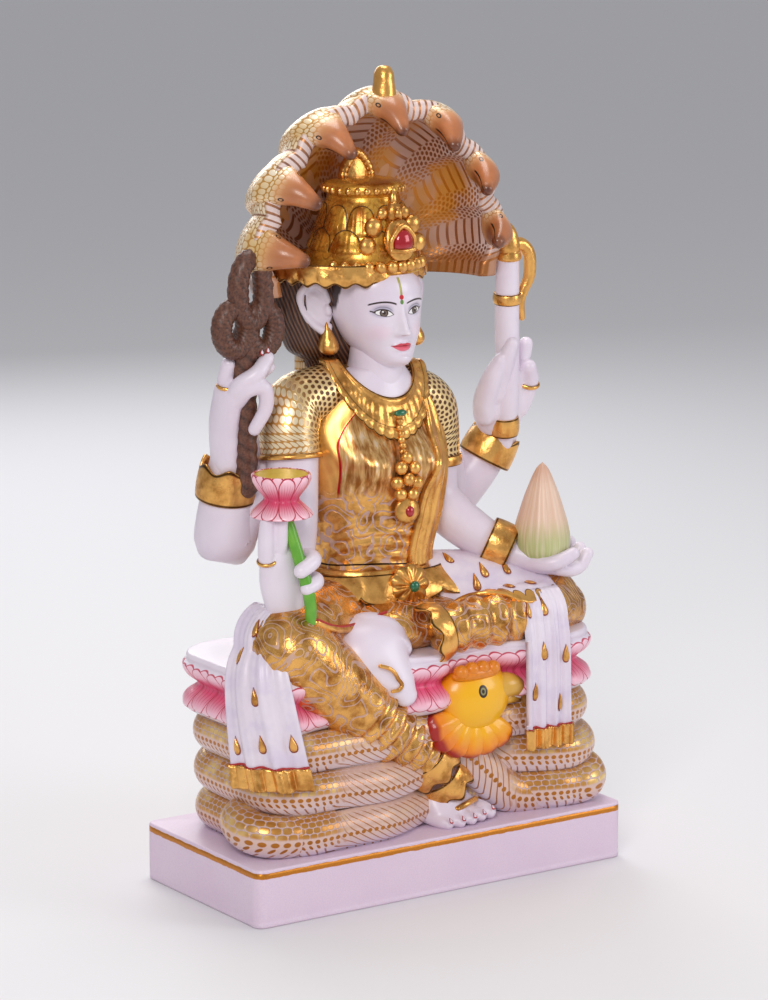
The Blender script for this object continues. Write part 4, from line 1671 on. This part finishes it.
def drops_on(surface, places):
    """Gold drops on a surface, each with a wider and flatter red-brown edge under it."""
    gold, under = [], []
    for u, v in places:
        spot = surface(np.array(u), np.array(v))
        east = surface(np.array(u + 0.02), np.array(v)) - surface(np.array(u - 0.02), np.array(v))
        down = surface(np.array(u), np.array(v + 0.02)) - surface(np.array(u), np.array(v - 0.02))
        normal = unit(np.cross(east, down))
        normal = normal * np.sign(normal @ (spot - [0, AXIS_Y, spot[2] - 40]))
        gold.append(drop(spot, normal, down, half_width=4.3, half_height=6.4, rise=1.9))
        under.append(drop(spot, normal, down, half_width=5.1, half_height=7.3, rise=0.9))
    return gold, under


def lap_surface(u, v, out=0.0):
    """A point on the scarf over the left thigh and shin, by its way along the thigh and from back to front.

    Its height is the smooth maximum of both rounds: the logarithm of the sum of their exponentials.
    """
    x = 30 + 92 * u
    back = 33.0 - 6 * u
    front = np.interp(x, [30, 45, 60, 70, 85, 100, 122], [-36, -50, -62, -66.5, -70, -68, -58])
    front = front + 1.2 * np.sin(u * 22)
    y = back + (front - back) * v
    blend = 3.0
    total = 0.0
    for spots in (LEFT_THIGH, LEFT_SHIN):
        route = np.array(spots)
        route = route[np.argsort(route[:, 0])]
        middle, level, radius = (np.interp(x, route[:, 0], route[:, k]) for k in (1, 2, 3))
        height = level + np.sqrt(np.maximum((radius + 2.5 + out) ** 2 - (y - middle) ** 2, 0))
        total = total + np.exp((height - 200) / blend)
    z = 200 + blend * np.log(total)
    return np.stack([x + 0 * z, y, z + 0.5 * np.cos(v * 16 + u * 5)], -1)


def thigh_scarf():
    """The scarf laid over the left thigh, and its leafy gold fringe."""
    def fringe(u, v):
        leaf = 0.025 + 0.075 * np.abs(np.sin(u * np.pi * 9)) ** 0.6
        return lap_surface(u, 1.015 - leaf * (1 - v), 0.9)
    edge = lambda u, v: 0.9 * swell(v, 0.04, 0.05)
    return sheet(56, 48, lap_surface, thick=3.0), sheet(126, 16, fringe, thick=3.5, tone=edge)


def bird_forms():
    """The cock's head: skull, four-lobed comb, and a ruff of ribbed neck feathers with darker edges."""
    skull = ball((36, -61, 142), (31, 18.5, 27), 48, 72,
                 shape=lambda height, angle: 1 + 0.03 * np.sin(angle * 2) * (1 - height ** 2))
    ribs = lambda length, turn: 0.5 * np.cos(turn * 7) * np.clip(length / 30, 0, 1)

    def edge(length, turn):
        return np.clip((length - 29) / 5, 0, 1) + 0.7 * swell(np.abs(np.abs(turn) - 1.57), 1.57, 0.30)

    ruff = []
    for i in range(6):
        angle = math.radians(196 + 23 * i)
        c, s = math.cos(angle), math.sin(angle)
        stops = [[35 + 16 * c, -62, 130 + 10 * s, 9, 1.0], [35 + 27 * c, -63.5, 130 + 18 * s, 9.8, 1.15],
                 [35 + 36 * c, -64, 130 + 25 * s, 9.8, 1.2]]
        ruff.append(limb(stops, unit(np.array([-s, 0, c])), 28, 42, ribs, ends=6, tone=edge))
    comb = [ball((18 + 9.5 * i, -72.5, 167.0 - 1.2 * abs(i - 1.5)), (6.0, 6.0, 5.4), 20, 28)
            for i in range(4)]
    comb.append(ball((33, -70.5, 162.5), (22, 7.5, 6.0), 20, 40))
    beak = [limb([[54, -65, 147, 11], [64, -67, 148, 9.6], [73, -67, 145, 7.4], [80, -67, 139, 4.8],
                  [82, -67, 131, 2.4]], UP, 50, 40),
            limb([[56, -66, 138, 5], [66, -66.5, 137.5, 4.2], [73, -66, 136, 2.6]], UP, 24, 24)]
    return [skull] + ruff, comb, beak


# Operators: one for each group of like pieces


class IDOL_OT_serpent(bpy.types.Operator):
    """Carve the plinth, the serpent's coils and front loops, and the double lotus seat"""

    bl_idname = "idol.serpent"
    bl_label = "Plinth, Serpent and Seat"

    def execute(self, context):
        sizes = context.scene.idol_sizes
        scales = serpent_paint()
        piece("plinth", [plinth_block(sizes)], plinth_paint())
        piece("serpent_coils", [coil_heap(sizes)], scales)
        piece("serpent_front_loops", front_loops(sizes), scales)
        piece("lotus_seat", [lotus_seat()], lotus_paint())
        return {"FINISHED"}


class IDOL_OT_body(bpy.types.Operator):
    """Carve the trunk, arms, legs, hands and feet"""

    bl_idname = "idol.body"
    bl_label = "Body"

    def execute(self, context):
        marble = marble_paint()
        piece("gilded_bodice", [torso()], blouse_paint())
        piece("gilded_trousers", leg_forms(), gold_paint("engraved_gold", shade=0.9, size=27.0, pitch=4.6))
        piece("sleeves", sleeve_forms(), mesh_sleeve_paint())
        piece("arms", arm_forms(), marble)
        neck = limb([[-2, 17, 362, 26], [-1, 13, 384, 21], [0, 11, 406, 20]], SIDEWAYS, 24, 48)
        piece("neck", [neck], marble)
        right_foot, left_foot = foot_forms()
        piece("right_foot", right_foot, marble, remesh=1.3, soften=3)
        piece("left_foot", left_foot, marble, remesh=1.3, soften=3)
        names = ("rear_right_hand", "rear_left_hand", "front_right_hand", "front_left_hand")
        for name, form in zip(names, hand_forms()):
            piece(name, form, marble, remesh=1.2, soften=2)
        return {"FINISHED"}


class IDOL_OT_head(bpy.types.Operator):
    """Carve the head with its painted face, the ears, earrings, hair and crown"""

    bl_idname = "idol.head"
    bl_label = "Head and Crown"

    def execute(self, context):
        gold = gold_paint("carved_gold", shade=0.7)
        piece("head", lean([head_form()]), face_paint())
        piece("ears", lean(ear(-1) + ear(1)), marble_paint(), remesh=0.9, soften=2)
        piece("earrings", lean([earring(-1), earring(1)]), gold)
        piece("hair", lean(hair_forms()), hair_paint())
        cap, trims = crown_forms()
        piece("crown", lean([cap]), crown_paint())
        piece("crown_trims", lean(trims), gold)
        piece("crown_front", lean(crown_front()), gold)
        cut_below = lambda height, angle: np.minimum(1, 0.35 / np.maximum(-height, 0.35))
        gem = ball((3, -26, 482), (8.2, 4.4, 10.0), 32, 40, shape=cut_below)
        piece("crown_gem", lean([gem]),
              plain_paint("red_gem", "b0081c", metallic=0.2, roughness=0.15, coat=0.8))
        return {"FINISHED"}


class IDOL_OT_hood(bpy.types.Operator):
    """Carve the seven-headed hood, its finial and the joined necks behind her back"""

    bl_idname = "idol.hood"
    bl_label = "Serpent Hood"

    def execute(self, context):
        tip = context.scene.idol_sizes.total_height / MM
        piece("serpent_hood", [hood_shell()], hood_paint())
        piece("serpent_heads", hood_heads(), serpent_head_paint())
        profile = [[0, 574], [9.6, 576], [9.2, 588], [8.0, 597], [7.2, 604], [4.4, tip - 1.2],
                   [0, tip - 0.2]]
        piece("finial", [turned(profile, (-1, 1.5, 0), 40)], gold_paint("finial_gold", shade=0.3))
        piece("serpent_necks", [back_forms()], necks_paint())
        return {"FINISHED"}


class IDOL_OT_jewellery(bpy.types.Operator):
    """Carve the collar, necklace, belt, shoulder scarf, cuffs and gems"""

    bl_idname = "idol.jewellery"
    bl_label = "Dress and Jewellery"

    def execute(self, context):
        gold = bpy.data.materials["carved_gold"]
        green = plain_paint("green_gem", "0c6b45", metallic=0.1, roughness=0.15, coat=0.8)
        red = bpy.data.materials["red_gem"]
        line = plain_paint("red_line", "b01818")
        piece("collar", [collar_form()], gold)
        piece("belt", belt_forms(), gold)
        piece("necklace", necklace_forms(), gold)
        piece("green_gems", [ball((0.5, -37.5, 226), (4.2, 2.6, 4.2), 16, 24),
                             ball((1, -17.5, 354), (5.5, 2.6, 2.8), 16, 24, (0.3, 0, 0))], green)
        piece("red_gems", [ball((0, -31.5, 282), (3.6, 2.4, 4.2), 16, 24)], red)
        scarf, border = shoulder_scarf()
        piece("shoulder_scarf", [scarf], gold_paint("scarf_gold", shade=0.5))
        piece("red_scarf_lines", [border], line)
        arms, ankles = cuff_forms()
        piece("bracelets", arms, gold)
        piece("ankle_cuffs", ankles, gold)
        piece("rings", ring_forms(), gold)
        hem = np.array([[-104, -64, 218, 3], [-89, -60.5, 211, 3], [-73.5, -53, 206.5, 3],
                        [-51, -43, 205, 3], [-31.7, -46, 210.5, 3]])
        piece("skirt_edge", [limb(hem, UP, 80, 24)], gold)
        piece("skirt_red_line", [limb(hem * [1, 1, 1, 0.4] + [-1.2, -2.0, 2.6, 0], UP, 80, 16)], line)
        piece("nail_edges", nail_forms(2.4, 0.5), line)
        piece("nails", nail_forms(1.7, 0.8), bpy.data.materials["polished_marble"])
        piece("sleeve_bands", [cuff((-76, 14, 325), (-0.04, -0.16, -1), 21.4, 4, flare=1.02),
                               cuff((60, 24, 307), (0, 0, -1), 19.2, 8, flare=1.02)], gold)
        return {"FINISHED"}


class IDOL_OT_held(bpy.types.Operator):
    """Carve the noose, the elephant goad, the lotus bloom with its stem, and the fruit"""

    bl_idname = "idol.held"
    bl_label = "Held Attributes"

    def execute(self, context):
        piece("noose", noose_forms(), rope_paint())
        staff, gold = goad_forms()
        piece("goad_staff", staff, bpy.data.materials["polished_marble"])
        piece("goad_gold", gold, gold_paint("goad_gold", shade=0.4))
        piece("lotus_bloom", [bloom_form()], bloom_paint())
        piece("lotus_stem", [limb([[-121, -46, 302, 4.5], [-116, -58, 268, 4.5], [-110, -64, 236, 4.5],
                                   [-108, -62, 212, 4]], SIDEWAYS, 80, 24)], stem_paint())
        piece("fruit", [fruit_form()], fruit_paint())
        return {"FINISHED"}


class IDOL_OT_cloths(bpy.types.Operator):
    """Carve the white scarf ends with their gold hems and drops"""

    bl_idname = "idol.cloths"
    bl_label = "Scarf Ends"

    def execute(self, context):
        white, gold = scarf_paint(), bpy.data.materials["carved_gold"]
        line = bpy.data.materials["red_line"]
        rust = plain_paint("drop_edge", "8e3a18", metallic=0.1, roughness=0.4)
        ends = ((LEFT_CLOTH, LEFT_DROPS), (RIGHT_CLOTH, RIGHT_DROPS))
        cloths, hems, lines, drops, unders = zip(*(cloth_forms(edges, places) for edges, places in ends))
        lap_drops, lap_unders = drops_on(lap_surface, THIGH_DROPS)
        drops, unders = sum(drops, []) + lap_drops, sum(unders, []) + lap_unders
        piece("scarf_ends", cloths, white)
        lap, fringe = thigh_scarf()
        piece("thigh_scarf", [lap], white)
        piece("scarf_fringe", [fringe], gold)
        piece("scarf_hems", hems, gold)
        piece("scarf_red_lines", lines, line)
        piece("scarf_drops", drops, gold)
        piece("scarf_drop_edges", unders, rust)
        return {"FINISHED"}


class IDOL_OT_bird(bpy.types.Operator):
    """Carve the cock-headed serpent's head under the seat"""

    bl_idname = "idol.bird"
    bl_label = "Cock-headed Serpent"

    def execute(self, context):
        skull, comb, beak = bird_forms()
        paint = bird_paint()
        piece("bird_head", skull, paint)
        piece("bird_comb", comb, plain_paint("comb_orange", "e8860c"))
        piece("bird_beak", beak, beak_paint())
        return {"FINISHED"}


class IDOL_OT_stage(bpy.types.Operator):
    """Set the pale floor, soft lights and the camera"""

    bl_idname = "idol.stage"
    bl_label = "Stage"

    def execute(self, context):
        mesh = bpy.data.meshes.new("floor")
        reach = 30.0
        corners = [(x * reach, y * reach, 0) for x, y in ((-1, -1), (1, -1), (1, 1), (-1, 1))]
        mesh.from_pydata(corners, [], [(0, 1, 2, 3)])
        floor = bpy.data.objects.new("floor", mesh)
        context.scene.collection.objects.link(floor)
        material = bpy.data.materials.new("pale_floor")
        material.use_nodes = True
        shader = material.node_tree.nodes["Principled BSDF"]
        shader.inputs["Base Color"].default_value = (0.78, 0.77, 0.78, 1)
        shader.inputs["Roughness"].default_value = 0.7
        mesh.materials.append(material)
        world = bpy.data.worlds.new("studio")
        world.use_nodes = True
        background = world.node_tree.nodes["Background"]
        background.inputs["Color"].default_value = (0.80, 0.81, 0.85, 1)
        background.inputs["Strength"].default_value = 0.52
        context.scene.world = world
        context.scene.view_settings.view_transform = "Standard"
        for name, place, size, power, tint in (
                ("key_light", (-1.5, -1.6, 1.5), 0.8, 23, (1.0, 0.97, 0.94)),
                ("fill_light", (1.5, -1.7, 0.9), 1.0, 12, (0.95, 0.96, 1.0)),
                ("top_light", (0.2, 0.3, 1.9), 0.9, 14, (1.0, 0.98, 0.96)),
                ("back_light", (0.6, 1.8, 1.1), 1.0, 10, (0.96, 0.97, 1.0))):
            light = bpy.data.lights.new(name, "AREA")
            light.size, light.energy, light.color = size, power, tint
            made = bpy.data.objects.new(name, light)
            made.location = place
            made.rotation_euler = look(place, (0, 0, 0.3))
            context.scene.collection.objects.link(made)
        camera = bpy.data.cameras.new("camera")
        camera.lens = VIEW["lens"]
        camera.clip_end = 80
        made = bpy.data.objects.new("camera", camera)
        azimuth, elevation, distance = VIEW["azimuth"], VIEW["elevation"], VIEW["distance"]
        place = (AIM[0] + distance * math.sin(azimuth) * math.cos(elevation),
                 AIM[1] - distance * math.cos(azimuth) * math.cos(elevation),
                 AIM[2] + distance * math.sin(elevation))
        made.location = place
        made.rotation_euler = look(place, AIM)
        context.scene.collection.objects.link(made)
        context.scene.camera = made
        return {"FINISHED"}


def look(place, aim):
    """The turn that points an object's -Z from one place to another, with Y up."""
    dx, dy, dz = (a - b for a, b in zip(aim, place))
    return (math.pi / 2 + math.atan2(dz, math.hypot(dx, dy)), 0.0, -math.atan2(dx, dy))


class IDOL_PT_panel(bpy.types.Panel):
    """Lists the sizes, the colours and the steps"""

    bl_idname = "IDOL_PT_panel"
    bl_label = "Marble Idol"
    bl_space_type = "VIEW_3D"
    bl_region_type = "UI"
    bl_category = "Idol"

    def draw(self, context):
        for group in (context.scene.idol_sizes, context.scene.idol_colours):
            for key in group.__annotations__:
                self.layout.prop(group, key)
        for step in STEPS:
            self.layout.operator(step.bl_idname)


STEPS = (IDOL_OT_serpent, IDOL_OT_body, IDOL_OT_head, IDOL_OT_hood, IDOL_OT_jewellery, IDOL_OT_held,
         IDOL_OT_cloths, IDOL_OT_bird, IDOL_OT_stage)
CLASSES = (IdolSizes, IdolColours, *STEPS, IDOL_PT_panel)


def register():
    for made in CLASSES:
        bpy.utils.register_class(made)
    bpy.types.Scene.idol_sizes = bpy.props.PointerProperty(type=IdolSizes)
    bpy.types.Scene.idol_colours = bpy.props.PointerProperty(type=IdolColours)


def unregister():
    del bpy.types.Scene.idol_colours
    del bpy.types.Scene.idol_sizes
    for made in reversed(CLASSES):
        bpy.utils.unregister_class(made)


def main():
    register()
    bpy.ops.idol.serpent()
    bpy.ops.idol.body()
    bpy.ops.idol.head()
    bpy.ops.idol.hood()
    bpy.ops.idol.jewellery()
    bpy.ops.idol.held()
    bpy.ops.idol.cloths()
    bpy.ops.idol.bird()
    bpy.ops.idol.stage()


if __name__ == "__main__":
    main()
